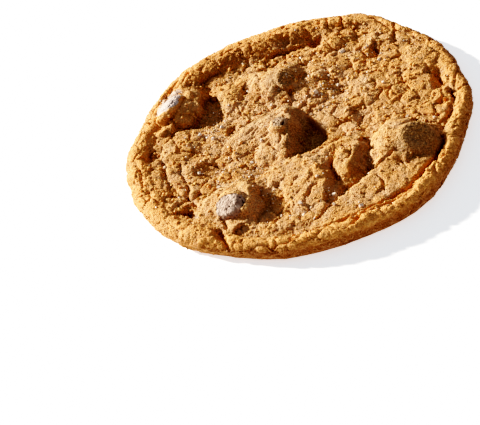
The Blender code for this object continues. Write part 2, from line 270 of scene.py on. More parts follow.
# %% [markdown]
# ## Noise
# Baked crumb is uneven at every size. A material has noise nodes for that, but relief needs it
# as numbers. Each square of a grid gets a fixed chance number: `wander` runs smoothly from one
# to the next, and `cells` finds the nearest of scattered points, as crumbs lie side by side.

# %% Noise
def number(i, j, layer):
    """A fixed chance number from 0 to 1 for each square of a grid."""
    value = np.sin(i * 127.1 + j * 311.7 + layer * 74.7) * 43758.5453
    return value - np.floor(value)


def wander(x, y, size, layer):
    """Soft unevenness from -1 to 1, with waves about size mm long."""
    u, v = x / size + 100.0, y / size + 100.0
    i, j = np.floor(u), np.floor(v)
    u, v = u - i, v - j
    slopes = []
    for a, b in ((0, 0), (1, 0), (0, 1), (1, 1)):
        turn = 2.0 * math.pi * number(i + a, j + b, layer)
        slopes.append((u - a) * np.cos(turn) + (v - b) * np.sin(turn))
    u, v = u * u * (3.0 - 2.0 * u), v * v * (3.0 - 2.0 * v)
    low = slopes[0] + (slopes[1] - slopes[0]) * u
    high = slopes[2] + (slopes[3] - slopes[2]) * u
    return 1.5 * (low + (high - low) * v)


def rough(x, y, size, layer):
    """Wander with two finer waves on it."""
    return (wander(x, y, size, layer) + 0.5 * wander(x, y, size * 0.49, layer + 0.3)
            + 0.25 * wander(x, y, size * 0.23, layer + 0.6)) / 1.4


def cells(x, y, size, layer):
    """The distances of the nearest two scattered points, and the nearest one's number and tilt."""
    u, v = x / size + 100.0, y / size + 100.0
    i, j = np.floor(u), np.floor(v)
    first, second, name, tilt = (np.full(u.shape, 9.0) for value in range(4))
    for a in (-1, 0, 1):
        for b in (-1, 0, 1):
            off_x = u - i - a - number(i + a, j + b, layer)
            off_y = v - j - b - number(i + a, j + b, layer + 0.37)
            away = np.hypot(off_x, off_y)
            nearer = away < first
            second = np.where(nearer, first, np.minimum(second, away))
            name = np.where(nearer, number(i + a, j + b, layer + 0.71), name)
            bearing = 2.0 * math.pi * number(i + a, j + b, layer + 0.13)
            tilt = np.where(nearer, off_x * np.cos(bearing) + off_y * np.sin(bearing), tilt)
            first = np.minimum(first, away)
    return first, second, name, tilt


print("noise spreads by", short(rough(X, Y, 6.0, 0.5).std()))

# %% [markdown]
# ## Outline
# A ball of dough doesn't spread evenly, so the outline is a circle with a few bulges and
# dents. Their numbers, and those of the rim and the dough's thickness, are the solid's own,
# because this surface is laid over the same cookie.

# %% Outline
RADIUS = 45.2          # mm, mean radius of the outline
EDGE = 5.0             # height of the rolled rim
EDGE_ROUND = 2.3       # its rounding
MIDDLE = 4.1           # thickness of the plain dough
FLOOR = 1.2            # least thickness
SHIFT = (0.44, 0.45)   # puts the middle of the outline's box on the origin
# Direction in degrees, rise in mm, spread in degrees.
LOBES = (
    (-62, 1.7, 14), (-27, -1.1, 11), (3, -0.8, 11), (38, -0.6, 6), (53, 1.3, 10), (91, -0.8, 8),
    (121, 0.7, 8), (150, -1, 8), (167, 0.5, 6), (-125, -0.8, 12),
)


def facing(turn, direction, spread):
    """1 in a direction given in degrees, fading away on both sides of it."""
    return np.exp(-((turn - direction) / spread) ** 2)


def outline(turn):
    """Radius of the cookie in a direction given in degrees."""
    radius = np.full_like(turn, RADIUS)
    for direction, rise, spread in LOBES:
        radius += rise * facing((turn - direction + 180.0) % 360.0 - 180.0, 0.0, spread)
    return radius


def inside_edge(x, y):
    """How far inside the outline a place lies, in mm."""
    return outline(np.degrees(np.arctan2(y, x))) - np.hypot(x, y)


angle = np.degrees(np.arctan2(Y, X))
inward = inside_edge(X, Y)
print("radius from", short(outline(angle).min()), "to", short(outline(angle).max()), "mm")

# %% [markdown]
# ## Rim
# The rim rolls up while the middle sinks. It is widest at the far side and nearly level on
# the right. Where the lamp stands its crest lies further in, and the rim slopes down from it
# to the edge, so that side of it catches the light.

# %% Rim
far_side = facing(angle, 98.0, 36.0)
near_side = facing(angle, -78.0, 40.0)
right_side = facing(angle, 10.0, 40.0)
lamp_side = 0.5 * np.cos(np.radians(angle - SUN_FROM))
sunny_side = smooth(0.35, 0.8, 0.5 + lamp_side)
shaded_side = smooth(0.35, 0.8, 0.5 - lamp_side)

rim_height = ((EDGE - MIDDLE) * (1.0 - 0.7 * right_side) + 1.1 * far_side + 0.6 * near_side
              + 0.2 * sunny_side)
crest_at = 2.6 + 0.4 * shaded_side + 1.2 * sunny_side + 3.0 * far_side
rim = 1.0 - smooth(0.0, 3.0 + 3.8 * far_side, inward + 0.7 * wander(X, Y, 6.0, 7.5) - crest_at)
base = MIDDLE + 0.15 * wander(X, Y, 13.0, 0.5) + rim_height * rim
outward = np.clip(crest_at - inward, 0.0, None)
base = base - 0.24 * sunny_side * outward - 0.015 * shaded_side * (1.0 - near_side) * outward ** 2
print("rim from", short(base[np.abs(inward - 2.0) < 0.1].min()), "mm high")

# %% [markdown]
# ## Shapes on the chart
# Everything large on the top is drawn with three shapes: a line, an outline of corners and an
# oval. They are drawn on ground that is bent a little, so that nothing baked comes out
# straight or round.

# %% Shapes
def segment(x, y, x1, y1, x2, y2):
    """Share of the way along a line where a place lies, its distance, and which side it is on."""
    along, up = x2 - x1, y2 - y1
    share = np.clip(((x - x1) * along + (y - y1) * up) / (along ** 2 + up ** 2), 0.0, 1.0)
    away = np.hypot(x - x1 - share * along, y - y1 - share * up)
    return share, away, along * (y - y1) - up * (x - x1)


def inside_of(x, y, corners):
    """How far inside an outline of corners a place lies, in mm. Outside it is below zero."""
    away = np.full(x.shape, 99.0)
    within = np.zeros(x.shape, bool)
    for (x1, y1), (x2, y2) in zip(corners, corners[1:] + corners[:1]):
        away = np.minimum(away, segment(x, y, x1, y1, x2, y2)[1])
        if y1 != y2:
            within ^= ((y1 > y) != (y2 > y)) & (x < x1 + (y - y1) * (x2 - x1) / (y2 - y1))
    return np.where(within, away, -away)


def oval(x, y, middle_x, middle_y, length, width, turn):
    """1 in the middle of an oval, 0 at its edge and beyond."""
    c, s = math.cos(math.radians(turn)), math.sin(math.radians(turn))
    along = ((x - middle_x) * c + (y - middle_y) * s) / length
    across = ((y - middle_y) * c - (x - middle_x) * s) / width
    return np.clip(1.0 - along * along - across * across, 0.0, 1.0)


bend_x = 0.9 * wander(X, Y, 5.0, 21.0) + 0.50 * wander(X, Y, 2.0, 22.0)
bend_y = 0.9 * wander(X, Y, 5.0, 23.0) + 0.50 * wander(X, Y, 2.0, 24.0)
bent_x, bent_y = X + bend_x, Y + bend_y
print("ground bent by up to", short(np.hypot(bend_x, bend_y).max()), "mm")

# %% [markdown]
# ## Swells and the raised plate
# Broad low swells lie all over the top. At the near right the crust broke as it rose, and a
# plate of it stands 1 mm higher behind a ragged edge. The plate follows the rim, so it is
# bounded by a line, by two directions and by its distance from the edge.

# %% Swells and plate
# Middle x, y, half length, half width, turn, rise.
SWELLS = (
    (-30.5, -28, 7, 6, 30, 0.9), (-9, -34.5, 9, 3.4, -5, 0.7), (17, 31, 5.4, 4.6, 10, 0.9),
    (27, 24.5, 5, 4.2, -20, 0.8), (35.5, 12, 4.4, 6.4, 15, 0.8), (12, 20.5, 7.5, 5, 20, 0.7),
    (20, 7, 6, 6, 0, 0.5), (-15, 21.6, 4.6, 5.6, 15, 1), (-30, 8, 6, 6.5, 10, 0.8),
    (-37, -9, 3.4, 9, 5, 0.7), (4, 17, 9, 6, -30, 0.9),
)
PLATE_FROM, PLATE_TO, PLATE_RISE = (3.0, -33.4), (20.0, -21.6), 1.0

for *shape, rise in SWELLS:
    base = base + rise * oval(bent_x, bent_y, *shape) ** 0.8

step = np.subtract(PLATE_TO, PLATE_FROM)
step = step / np.linalg.norm(step)
beyond = (X - PLATE_FROM[0]) * step[1] - (Y - PLATE_FROM[1]) * step[0]
beyond = beyond + 0.8 * rough(X, Y, 3.2, 4.5)
sector = smooth(-100.0, -88.0, angle) * (1.0 - smooth(-48.0, -38.0, angle))
plate = smooth(-0.25, 0.25, beyond) * sector * smooth(4.4, 5.0, inward)
base = base + PLATE_RISE * plate
print("plate of", short(plate.sum() * PITCH * PITCH), "square mm")

# %% [markdown]
# ## Hollows and pits
# Where steam got out, the dough sank in small hollows. Beside the chips the crust tore open in
# deeper pits with a ragged wall and a nearly level floor. The floor is darkened, partly as a
# chocolate stain and partly as painted shade.

# %% Hollows and pits
# Middle x, y, half length, half width, turn, depth.
HOLLOWS = (
    (-11.6, -11.6, 3.6, 3.2, 10, 0.8), (-24, -5.4, 5, 3, -25, 1.2), (-37, 7.6, 3.6, 2.4, 0, 1),
    (-32, -18, 2, 3, 6, 1.3), (-25.6, -31.6, 1.5, 3.4, 25, 0.9), (-5.2, -30.4, 3.2, 2.8, 0, 1.2),
    (13.4, 10.6, 3, 5, 20, 0.9), (17, -3.2, 3.2, 4.6, 10, 1.2), (37.6, 1.6, 2.2, 4.6, -20, 1.4),
    (25.6, 21.2, 1.5, 3.2, -20, 1.1), (-15.4, 6.4, 2.2, 3.6, 20, 0.8),
    (11.8, 32, 2.6, 2.2, 30, 1.2),
)
# Floor height, wall width, how much stain and painted shade darken the floor, corners x, y.
PITS = {
    "centre": (1.3, 1.2, 1, (
        (0.2, 7), (2.4, 5.4), (4, 3.2), (5.8, -0.5), (7.2, -4), (7.8, -6.5), (6.4, -8.8), (4, -10),
        (0, -11), (-3, -10), (-4.8, -8.6), (-4.2, -4), (-1.6, 2))),
    "left": (2.7, 2.4, 0.6, (
        (-19.8, 26.5), (-16, 24), (-14.9, 20), (-15.2, 15), (-17, 12), (-21, 10.8), (-25, 11.8),
        (-29, 14), (-27, 18), (-24.5, 23))),
    "front": (3.3, 3, 0.4, (
        (-15, -17), (-12.5, -20), (-10.8, -24), (-10.2, -30), (-12, -33.5), (-14.5, -31),
        (-19, -29.5), (-17, -22))),
    "valley": (2.7, 2.6, 0.8, (
        (15.5, -12), (16, -16), (14.8, -21), (15.2, -24.5), (9.5, -28.5), (5, -32), (3.6, -29),
        (6.6, -24.5), (8, -26), (10, -26), (13, -20))),
    "upper": (3.8, 2, 0.5, (
        (4.5, 25), (7, 22.5), (9.2, 20), (8, 17.6), (5, 16.6), (3.4, 18), (3.5, 21))),
    "right": (3, 2.2, 0.8, (
        (32.2, -17), (34.2, -20.5), (33.6, -24.5), (31.4, -27.6), (29, -26.6), (30.5, -21.5))),
}

for *shape, depth in HOLLOWS:
    base = base - depth * oval(bent_x, bent_y, *shape) ** 0.7 * (1.0 - plate)
pit_stain_and_shade = np.zeros_like(X)
for floor_height, wall, stain_and_shade_share, corners in PITS.values():
    inside = inside_of(X + 0.5 * bend_x, Y + 0.5 * bend_y, corners)
    open_here = smooth(0.0, wall, inside) * (1.0 - 0.6 * plate)
    base = base - (base - floor_height) * open_here
    # Pit floors lie in shade, so their darkening is partly stain and partly painted shade.
    pit_stain_and_shade = np.maximum(pit_stain_and_shade, stain_and_shade_share * open_here)
print("lowest floor", short(base[inward > 5.0].min()), "mm")

# %% [markdown]
# ## Hills over the chips
# A hill is drawn by its crest, a line of points, with the steep side on its left. The dough
# falls away gently on the side where the lamp stands, and steeply on the other, where the
# crust slid off a chip. That gives the crisp line between light and shade that a round mound
# can't. On a fanned hill the gentle side is one even fan, and on the others it is built up
# from the whole crest.

# %% Hill sizes
# How smooth the skin is, how much chocolate stain and painted shade darken the steep left side,
# which faces away from the lamp, the slope on the right of the crest and how far it reaches,
# how far the left slope reaches, and the crest's points: x, y, z, left slope.
HILLS = {
    "centre": (0.7, 0.8, 0.28, 8, 9, (
        (-17, 2.6, 4.8, 0.7), (-12, 3.9, 6.2, 0.7), (-6, 3.9, 7.2, 0.7), (-1.8, 4.9, 7.6, 0.9),
        (-1.2, 0.8, 7.8, 1.7), (-2.2, -2.2, 7.5, 1.7), (-3.4, -5, 6.8, 1.7), (-4, -7.4, 5.8, 1.7),
        (-4.2, -9, 4.8, 1.7))),
    "front_chip": (0.88, 0.5, 0.27, 8, 9, (
        (-28, -19.2, 4.8, 0.9), (-25, -17.4, 5.8, 0.9), (-22, -16.6, 6.5, 0.9),
        (-17.4, -16.4, 6.7, 1), (-15.6, -20.2, 7.5, 1.7), (-16.2, -24.4, 7.4, 1.8),
        (-17.6, -27.4, 6.6, 2), (-19.4, -29.1, 5.2, 2))),
    "right_chip": (0.6, 0.8, 0.15, 6, 5, (
        (29.4, -15.4, 4.4, 0.8), (27.4, -16.2, 6.6, 0.6), (25.4, -17.2, 7.9, 0.52),
        (23.7, -18.9, 8.3, 0.5), (22.8, -21.1, 7.9, 0.5), (22.4, -23.6, 6.8, 0.55),
        (22.8, -26.6, 4.6, 0.8))),
    "upper_chip": (0.5, 0.7, 0.22, 12, 4, (
        (2.4, 25.6, 4.4, 0.6), (1.3, 23.1, 6.1, 0.5), (0.1, 21.2, 6.8, 0.48), (-1.4, 19.4, 7, 0.48),
        (-2.6, 17.9, 6.6, 0.5), (-3.4, 16.9, 5.6, 0.6), (-3.9, 16, 4.2, 0.7))),
    "left_chip": (0.3, 0.25, 0.45, 5.5, 2.4, (
        (-23, 29.8, 4.6, 0.4), (-24.4, 25.3, 6.4, 0.4), (-25.8, 20.8, 7.1, 0.4),
        (-27.8, 17.4, 6.5, 0.45), (-31, 15.3, 5.7, 0.9), (-34.5, 13.8, 4.9, 1.2))),
    "long_lump": (0.45, 0.5, 0.15, 9, 9, (
        (-9, -13.6, 4.8, 0.7), (-3, -13.4, 5.8, 0.7), (0.8, -15.6, 6.3, 0.8),
        (1.8, -19.5, 6.4, 0.9), (2.2, -24.6, 6.1, 0.9), (1.8, -28.4, 5.2, 0.9),
        (1, -30.5, 4.4, 0.9))),
    "long_lump_right": (0.2, 0.6, 0.3, 2.6, 5, (
        (2, -15.2, 6.2, 1.2), (6, -13.9, 6.3, 1.2), (10, -13.2, 6.5, 1), (12.8, -13.4, 6.3, 0.9),
        (12, -15.9, 6.8, 0.6), (9.8, -18, 6.9, 0.6), (9.4, -21.6, 6.3, 0.9), (9, -24.1, 5, 1.4))),
}
FANNED = ("right_chip", "upper_chip")
print(len(HILLS), "hills,", len(FANNED), "of them fanned")


# %% The shape of a hill
def hill_height(x, y, right_slope, right_reach, left_reach, crest, fanned):
    """Height of a hill whose crest is a line of points, and 1 on its steep side. A fanned hill's
    gentle side falls from the nearest point of the crest, and another's from its highest."""
    nearest = np.full(x.shape, 99.0)
    near_level = nearest.copy()
    left = np.zeros(x.shape, bool)
    lines = []
    for (x1, y1, z1, s1), (x2, y2, z2, s2) in zip(crest, crest[1:]):
        share, away, side_of = segment(x, y, x1, y1, x2, y2)
        lines.append((away, z1 + share * (z2 - z1), s1 + share * (s2 - s1)))
        square_on = np.abs(side_of) / (math.hypot(x2 - x1, y2 - y1) * away.clip(1e-6))
        closer = away - 0.02 * square_on < nearest
        nearest = np.where(closer, away - 0.02 * square_on, nearest)
        near_level = np.where(closer, lines[-1][1], near_level)
        left = np.where(closer, side_of > 0.0, left)
    height = np.full(x.shape, -9.0)
    for away, level, left_slope in lines:
        away = np.sqrt(away * away + 0.25) - 0.5
        gentle = right_slope * away + 0.9 * np.clip(away - right_reach, 0.0, None)
        steep = left_slope * away + 3.0 * np.clip(away - left_reach, 0.0, None)
        height = np.maximum(height, level - np.where(left, steep, gentle + 99.0 * fanned))
    if fanned:
        fan = near_level - right_slope * nearest - 0.9 * np.clip(nearest - right_reach, 0.0, None)
        height = np.where(left, height, fan)
    return height, np.where(left, smooth(0.1, 0.7, nearest), 0.0)


trial_crest = ((0.0, -5.0, 8.0, 1.0), (0.0, 5.0, 8.0, 1.0))
trial = hill_height(np.array([-2.0, 2.0]), np.zeros(2), 0.3, 4.0, 4.0, trial_crest, False)[0]
print("2 mm left and right of a trial crest of 8 mm:", *trial.round(1), "mm")

# %% [markdown]
# ## Raising the hills
# Each hill is laid over the ground with a soft bend at its foot. Where one lies, its skin is
# smoother than the crags around, and its steep side, which faces away from the lamp, is
# darkened partly as a chocolate stain and partly as painted shade. The near side of the front
# chip stands free of the dough, in a shallow dip.

# %% Raised hills
LIP = (
    (-26.4, -24), (-25.4, -28), (-21.6, -30.4), (-17.2, -30), (-16.6, -27.6), (-19, -26.2),
    (-23, -24.6),
)
LIP_WALL, LIP_FLOOR = 1.4, 4.7     # mm

skin = np.zeros_like(X)
lee_stain_and_shade = np.zeros_like(X)
hills = np.full_like(X, -9.0)
for hill_name, (smoothness, stain_and_shade_share, *form) in HILLS.items():
    hill, steep_side = hill_height(bent_x, bent_y, *form, hill_name in FANNED)
    skin = np.maximum(skin, smoothness * smooth(0.0, 0.9, hill - base))
    # The steep side lies in shade, so its darkening is partly painted shade.
    lee_stain_and_shade = np.where(hill > hills, stain_and_shade_share * steep_side * smooth(-0.6, 0.3, hill - base), lee_stain_and_shade)
    hills = np.maximum(hills, hill)
base = soft_max(base, hills, 0.16)
base = base - smooth(0.0, LIP_WALL, inside_of(X, Y, LIP)) * np.clip(base - LIP_FLOOR, 0.0, None)
print("hills up to", short(base.max()), "mm")

# %% [markdown]
# ## Cracks along the rim
# The middle sinks after the rim has set, so the crust tears along the rim. A crack is given by
# its directions and its distances from the edge, which keeps it beside the rim all the way,
# and noise shakes it and breaks it up.

# %% Rim cracks
# Start and end direction, distance from the edge at each, half width, depth.
RIM_CRACKS = (
    (-98, -64, 5, 5.6, 0.32, 1.3), (-70, -32, 5.8, 4.2, 0.62, 2.6), (-30, 2, 5.6, 4.4, 0.6, 1.4),
    (24, 52, 3.2, 2.6, 0.6, 1.1), (126, 142, 3.4, 3.2, 0.4, 0.6), (170, 200, 3.4, 4.4, 0.5, 0.6),
    (174, 200, 9.6, 10.6, 0.5, 0.6),
)

shake = (0.95 - 0.35 * near_side) * rough(X, Y, 3.2, 9.5)
patchy = np.clip(0.85 + (0.8 - 0.5 * near_side) * wander(X, Y, 5.0, 9.9), 0.1, 1.2)
groove = np.zeros_like(X)
for start, end, first, last, half, depth in RIM_CRACKS:
    turn = (angle - start) % 360.0
    share = np.clip(turn / (end - start), 0.0, 1.0)
    within = np.where(turn <= end - start, np.sin(math.pi * share) ** 0.35, 0.0)
    offset = (inward + shake - (first + (last - first) * share)) / half
    groove = np.maximum(groove, depth * within * np.exp(-offset * offset))
base = base - groove * patchy
print("cracks up to", short((groove * patchy).max()), "mm deep")

# %% [markdown]
# ## Single cracks
# Single cracks were measured along the line of sight, on a plane 4.5 mm up. A place that is
# higher than the plane shows further up the picture, so `seen_y` gives a second y that allows
# for that, and the cracks are drawn in it.

# %% Single cracks
SEEN_LEVEL = 4.5     # mm
# From x, y to x, y, half width, depth.
STROKES = (
    (-12.8, 3.6, -10.6, 5.8, 0.25, 0.6), (-11.2, 3.2, -9, 5.4, 0.25, 0.6),
    (-9.6, 3, -7.8, 4.8, 0.25, 0.5), (-15, 0.6, -10.4, 2.2, 0.25, 0.5), (-9, 0.4, -6, 2, 0.25, 0.5),
    (-12, -2.4, -7.6, -1, 0.25, 0.5), (-3.6, 2.4, -3, 1.4, 0.5, 1.3),
    (-3.8, 0.6, -3.6, -0.6, 0.45, 1.2), (-6, 0.8, -5.4, 0.4, 0.35, 1),
    (-4.8, -0.8, -5, -3.6, 0.35, 0.8), (-8, -3, -6.2, -7, 0.5, 0.7),
    (19.5, -25.5, 21.5, -27.6, 0.25, 0.6), (21, -24.6, 22.2, -28.6, 0.3, 0.7),
    (23, -25.4, 24.6, -28, 0.3, 0.7), (15, -27, 16.2, -29.6, 0.35, 0.7),
    (16.2, -29.6, 15.6, -33, 0.6, 0.6), (9.4, -12.8, 11.2, -13.2, 0.3, 0.8),
    (12.6, -11.8, 13.6, -12.4, 0.3, 0.8), (15.5, -24.5, 21, -20.5, 0.4, 1.2),
    (21, -20.5, 23, -21.5, 0.35, 1), (5.4, -18.4, 6, -26, 0.9, 0.4), (0, -23, -3, -27, 0.4, 0.7),
    (-6, -20.5, -3, -19, 0.4, 0.6), (-41.8, 5, -40.8, -2, 0.5, 0.6),
    (-40.8, -2, -40.6, -10, 0.5, 0.6), (-35.4, 5, -35, -4, 0.55, 0.7),
    (-35, -4, -34.8, -12, 0.5, 0.6), (-31.2, 0, -30.4, -9, 0.5, 0.7),
    (-30.4, -9, -30, -18, 0.6, 0.9), (-35.4, -17, -30.4, -20.6, 0.8, 0.9),
    (-24.4, -24, -24, -29, 0.5, 1.2), (-25.6, -30, -24.4, -38, 0.8, 1.3),
    (-5, 36.6, -4.6, 41.6, 0.5, 0.6), (-8.4, 35, -7.4, 39.6, 0.4, 0.35),
    (10.4, 33, 9.6, 39.4, 0.5, 0.6), (16, 35.6, 16.2, 40.4, 0.4, 0.9),
    (19.5, 34.6, 20.2, 39.6, 0.45, 1.1), (-24.6, 33, -22.6, 36.6, 0.45, 0.8),
    (36, 4.6, 38.6, -1.6, 0.5, 1), (25.4, 19, 26, 23.2, 0.45, 1), (-24, -4, -20, -7.4, 0.6, 1.1),
    (-36, 8, -39, 5.6, 0.7, 0.5), (31, 22, 33, 29, 0.45, 0.9), (-29.8, 21.4, -29.2, 15.4, 0.5, 1.1),
    (-35, 14.2, -27, 13.6, 0.6, 0.9), (-21, 30.4, -12, 32.8, 0.6, 0.9),
    (-3, 32.6, 7, 31.6, 0.9, 1.2), (-4.6, 24, -8.4, 30, 0.3, 0.4), (-14, 14.6, -17.6, 23, 0.4, 0.6),
    (-12.4, -11, -7.4, -9.6, 0.7, 0.6), (-10, 20, -9, 25, 0.35, 0.7),
    (12, 12.4, 15.6, 14, 0.4, 0.8), (-16.4, 6.4, -14.4, 8.8, 0.4, 0.5),
    (-21, -38.6, -14.6, -40, 0.7, 1), (4, -41.8, 7, -40.6, 0.6, 1),
    (14.6, -13, 16.4, -17, 0.6, 0.9),
)


def seen_y(y, z):
    """Where the camera sees a point on the plane that the strokes were measured on."""
    return y + (z - SEEN_LEVEL) / math.tan(math.radians(LOOK_DOWN))


def stroke(x, y, x1, y1, x2, y2, half):
    """1 on the line from one place to the other, fading over half mm."""
    return np.exp(-(segment(x, y, x1, y1, x2, y2)[1] / half) ** 2)


ground_seen = seen_y(Y, np.maximum(base, 1.0))
torn = np.zeros_like(X)
for *line, depth in STROKES:
    torn = np.maximum(torn, depth * stroke(X + bend_x, ground_seen + bend_y, *line))
torn = torn * np.clip(0.8 + 0.7 * wander(X, Y, 2.8, 14.5), 0.2, 1.1)
print(len(STROKES), "single cracks")

# %% [markdown]
# ## Crags and crumbs
# Baked dough breaks at every size: crags of 3 to 4 mm with ambered cracks between them,
# crumbs of 1 to 2 mm on those, and sandy grain on everything. Each size is one layer of
# scattered cells, bent so that no edge is straight. Near the rim the cells of the two large
# sizes are drawn out along the edge, as the dough tore when it spread.

# %% A layer of crumb
# Size of the cells in mm, noise layer, whether they are drawn out along the rim, how far their
# number, tilt and dome lift them in mm, and the depth and width of the gaps between them.
LAYERS = {
    "crags": (3.8, 1.5, True, 0.46, 0.54, 0.10, 0.65, 0.14),
    "lumps": (2.0, 5.5, True, 0.11, 0.14, 0.11, 0.12, 0.18),
    "crumbs": (1.05, 8.5, False, 0.06, 0.07, 0.08, 0.04, 0.20),
    "grain": (0.58, 11.5, False, 0.11, 0.10, 0.11, 0.00, 0.20),
}


def crumb_layer(size, layer, along_rim, by_number, by_tilt, by_dome, gap_depth, gap_width):
    """Relief of one size of cells, in mm."""
    bent_x = X + 0.30 * size * rough(X, Y, 1.4 * size, layer + 20.0)
    bent_y = Y + 0.30 * size * rough(X, Y, 1.4 * size, layer + 30.0)
    found = cells(bent_x, bent_y, size, layer)
    if along_rim:
        ring = np.radians(angle) * RADIUS / 2.2 + 0.3 * (bent_x - X)
        drawn_out = cells(ring, inward + bent_y - Y, size * 0.8, layer + 5.0)
        near = smooth(8.0, 5.0, inward + 1.5 * wander(X, Y, 6.0, layer + 40.0))
        found = [free + near * (drawn - free) for free, drawn in zip(found, drawn_out)]
    first, second, name, tilt = found
    gaps = gap_depth * smooth(gap_width, 0.0, second - first)
    return by_number * (name - 0.5) + by_tilt * tilt + by_dome * (0.5 - first) - gaps


crags, lumps, crumbs, grain = (crumb_layer(*layer) for layer in LAYERS.values())
print("crags from", short(crags.min()), "to", short(crags.max()), "mm")

# %% [markdown]
# ## The finished top
# The layers are laid on each other, large ones first. Skins and the rolled rim have fewer
# crags, and the crumb is rougher in some places than in others, because dough is never mixed
# quite evenly. The large layers are softened a little, as the oven rounds them.

# %% The top
plain = 1.0 - np.maximum(skin, 0.5 * plate)
roll = smooth(3.4 + 1.6 * far_side, 0.4, inward) * (1.0 - 0.95 * shaded_side)
worn = np.clip(0.75 + 1.0 * wander(X, Y, 8.0, 12.5), 0.15, 1.5)
crumbly = np.clip(0.85 + 1.0 * wander(X, Y, 4.5, 13.5), 0.3, 1.5)

detail = plain * worn * (1.0 - 0.65 * roll) * crags
detail += (0.35 + 0.65 * plain) * (0.4 + 0.6 * crumbly) * (1.0 - 0.35 * roll) * lumps
detail = blur(detail, 0.18)
detail += 0.9 * crumbly * (1.0 - 0.3 * roll) * crumbs
detail += (0.55 + 0.35 * crumbly) * grain - 0.30 - 0.15 * roll
top = np.maximum(base + detail - torn, FLOOR)
print("detail from", short(detail.min()), "to", short(detail.max()), "mm")

# %% [markdown]
# ## Chocolate chips
# A chip melts as it bakes and sets again without temper, so its cocoa butter comes out as a
# pale bloom. Each chip keeps the place, size and tilt of its solid. It could be the solid
# itself, but that has too few points for its grain, so a finer ball is squashed to it. Where
# it shows it is pressed nearly flat, sandy from the crumbs that stuck to it, and marked by
# small holes and cracks.

# %% Chip sizes
# Middle x, y, z, half sizes, turn, tilt and its direction, the way that the bare face looks,
# where it is cut as a share of the chip's reach that way, and how strong the bloom is; it is
# kept low on the right and upper chips, whose bare faces turn from the lamp, as painted shade.
CHIPS = {
    "chip_front": ((-21.1, -23.0, 5.3), (4.2, 4.0, 2.8), (20.0, 24.0, -112.0),
                   (-0.42, -0.22, 0.88), 0.58, 0.9),
    "chip_left": ((-29.8, 21.6, 5.4), (5.3, 3.0, 2.3), (45.0, 34.0, 138.0),
                  (-0.50, 0.25, 0.83), 0.80, 1.0),
    "chip_middle": ((-3.9, -0.5, 5.9), (2.7, 2.7, 2.8), (0.0, 8.0, -150.0),
                    (-0.20, -0.10, 0.97), 0.80, 0.25),
    "chip_right": ((27.4, -21.2, 5.0), (5.6, 5.1, 2.9), (-35.0, 27.0, -50.0),
                   (0.405, -0.295, 0.865), 0.40, 0.03),
    "chip_upper": ((1.0, 17.9, 4.8), (2.7, 3.5, 2.7), (30.0, 38.0, -40.0),
                   (0.35, -0.30, 0.89), 0.42, 0.0),
}
# Holes and cracks as the camera sees them: from x, y to x, y, and half width.
MARKS = (
    (-18.3, -20.8, -18.1, -22.2, 0.18), (-18.6, -19.6, -18.4, -19.9, 0.2),
    (-20.6, -26, -20, -26.2, 0.26), (-22.6, -26.3, -22.2, -26.4, 0.24),
    (-18.2, -23.6, -18, -24, 0.24), (-21.6, -22, -21.5, -22.2, 0.16),
    (-32.2, 23.3, -29.4, 24.6, 0.2), (-28.9, 25, -28.4, 25.9, 0.2),
    (-27.8, 26.8, -26.8, 28.2, 0.18), (-2.8, 3.4, -3.4, 2.2, 0.3), (-5.2, 4.4, -4.9, 4, 0.25),
    (-2.4, 5.2, -2.3, 4.8, 0.22), (24.2, -13.5, 25.2, -14.6, 0.24),
    (25.2, -14.6, 26.4, -14.7, 0.24),
)
MARK_DEPTH = 0.35     # mm
print(len(CHIPS), "chips, the longest", 2.0 * max(max(chip[1]) for chip in CHIPS.values()), "mm")


# %% Points of a piece
def points_of(piece):
    """The piece's points as an array, in mm."""
    flat = np.empty(len(piece.data.vertices) * 3)
    piece.data.vertices.foreach_get("co", flat)
    return flat.reshape(-1, 3) / MM


def move_points(piece, points):
    """Puts the piece's points where an array in mm says."""
    piece.data.vertices.foreach_set("co", (points * MM).ravel())
    piece.data.update()


def add_values(piece, name, values):
    """Stores one number a point for the material to read."""
    store = piece.data.attributes.new(name, "FLOAT", "POINT")
    store.data.foreach_set("value", np.asarray(values, dtype=np.float32))


print("the floor reaches", short(points_of(floor).max()), "mm each way")


# %% Making the chips
def squashed(ball, middle, half_sizes, turns):
    """A ball's points, made uneven, stretched to half sizes, turned and tilted."""
    turn, tilt, towards = turns
    u, v, w = ball.T
    swell = (1.0 + 0.05 * wander(u + middle[0], v + w, 0.7, middle[1])
             + 0.02 * rough(u - w, v + middle[0], 0.25, middle[0]))
    bearing = math.radians(towards)
    axis = Vector((-math.sin(bearing), math.cos(bearing), 0.0))
    lean = Matrix.Rotation(math.radians(tilt), 3, axis)
    spin = Matrix.Rotation(math.radians(turn), 3, "Z")
    return (ball * swell[:, None] * np.array(half_sizes)) @ np.array(lean @ spin).T


def sandy_grain(x, y, z, middle):
    """Relief of the crumbs that stuck to a chip: coarse ones, and fine ones between them."""
    first, second, name, tilt = cells(x + 0.6 * z, y - 0.5 * z, 0.9, middle[0])
    coarse = 0.10 * name + 0.12 * tilt - 0.05 * smooth(0.2, 0.0, second - first)
    first, second, name, tilt = cells(x + 0.6 * z, y - 0.5 * z, 0.42, middle[1])
    return coarse + 0.07 * name + 0.09 * tilt


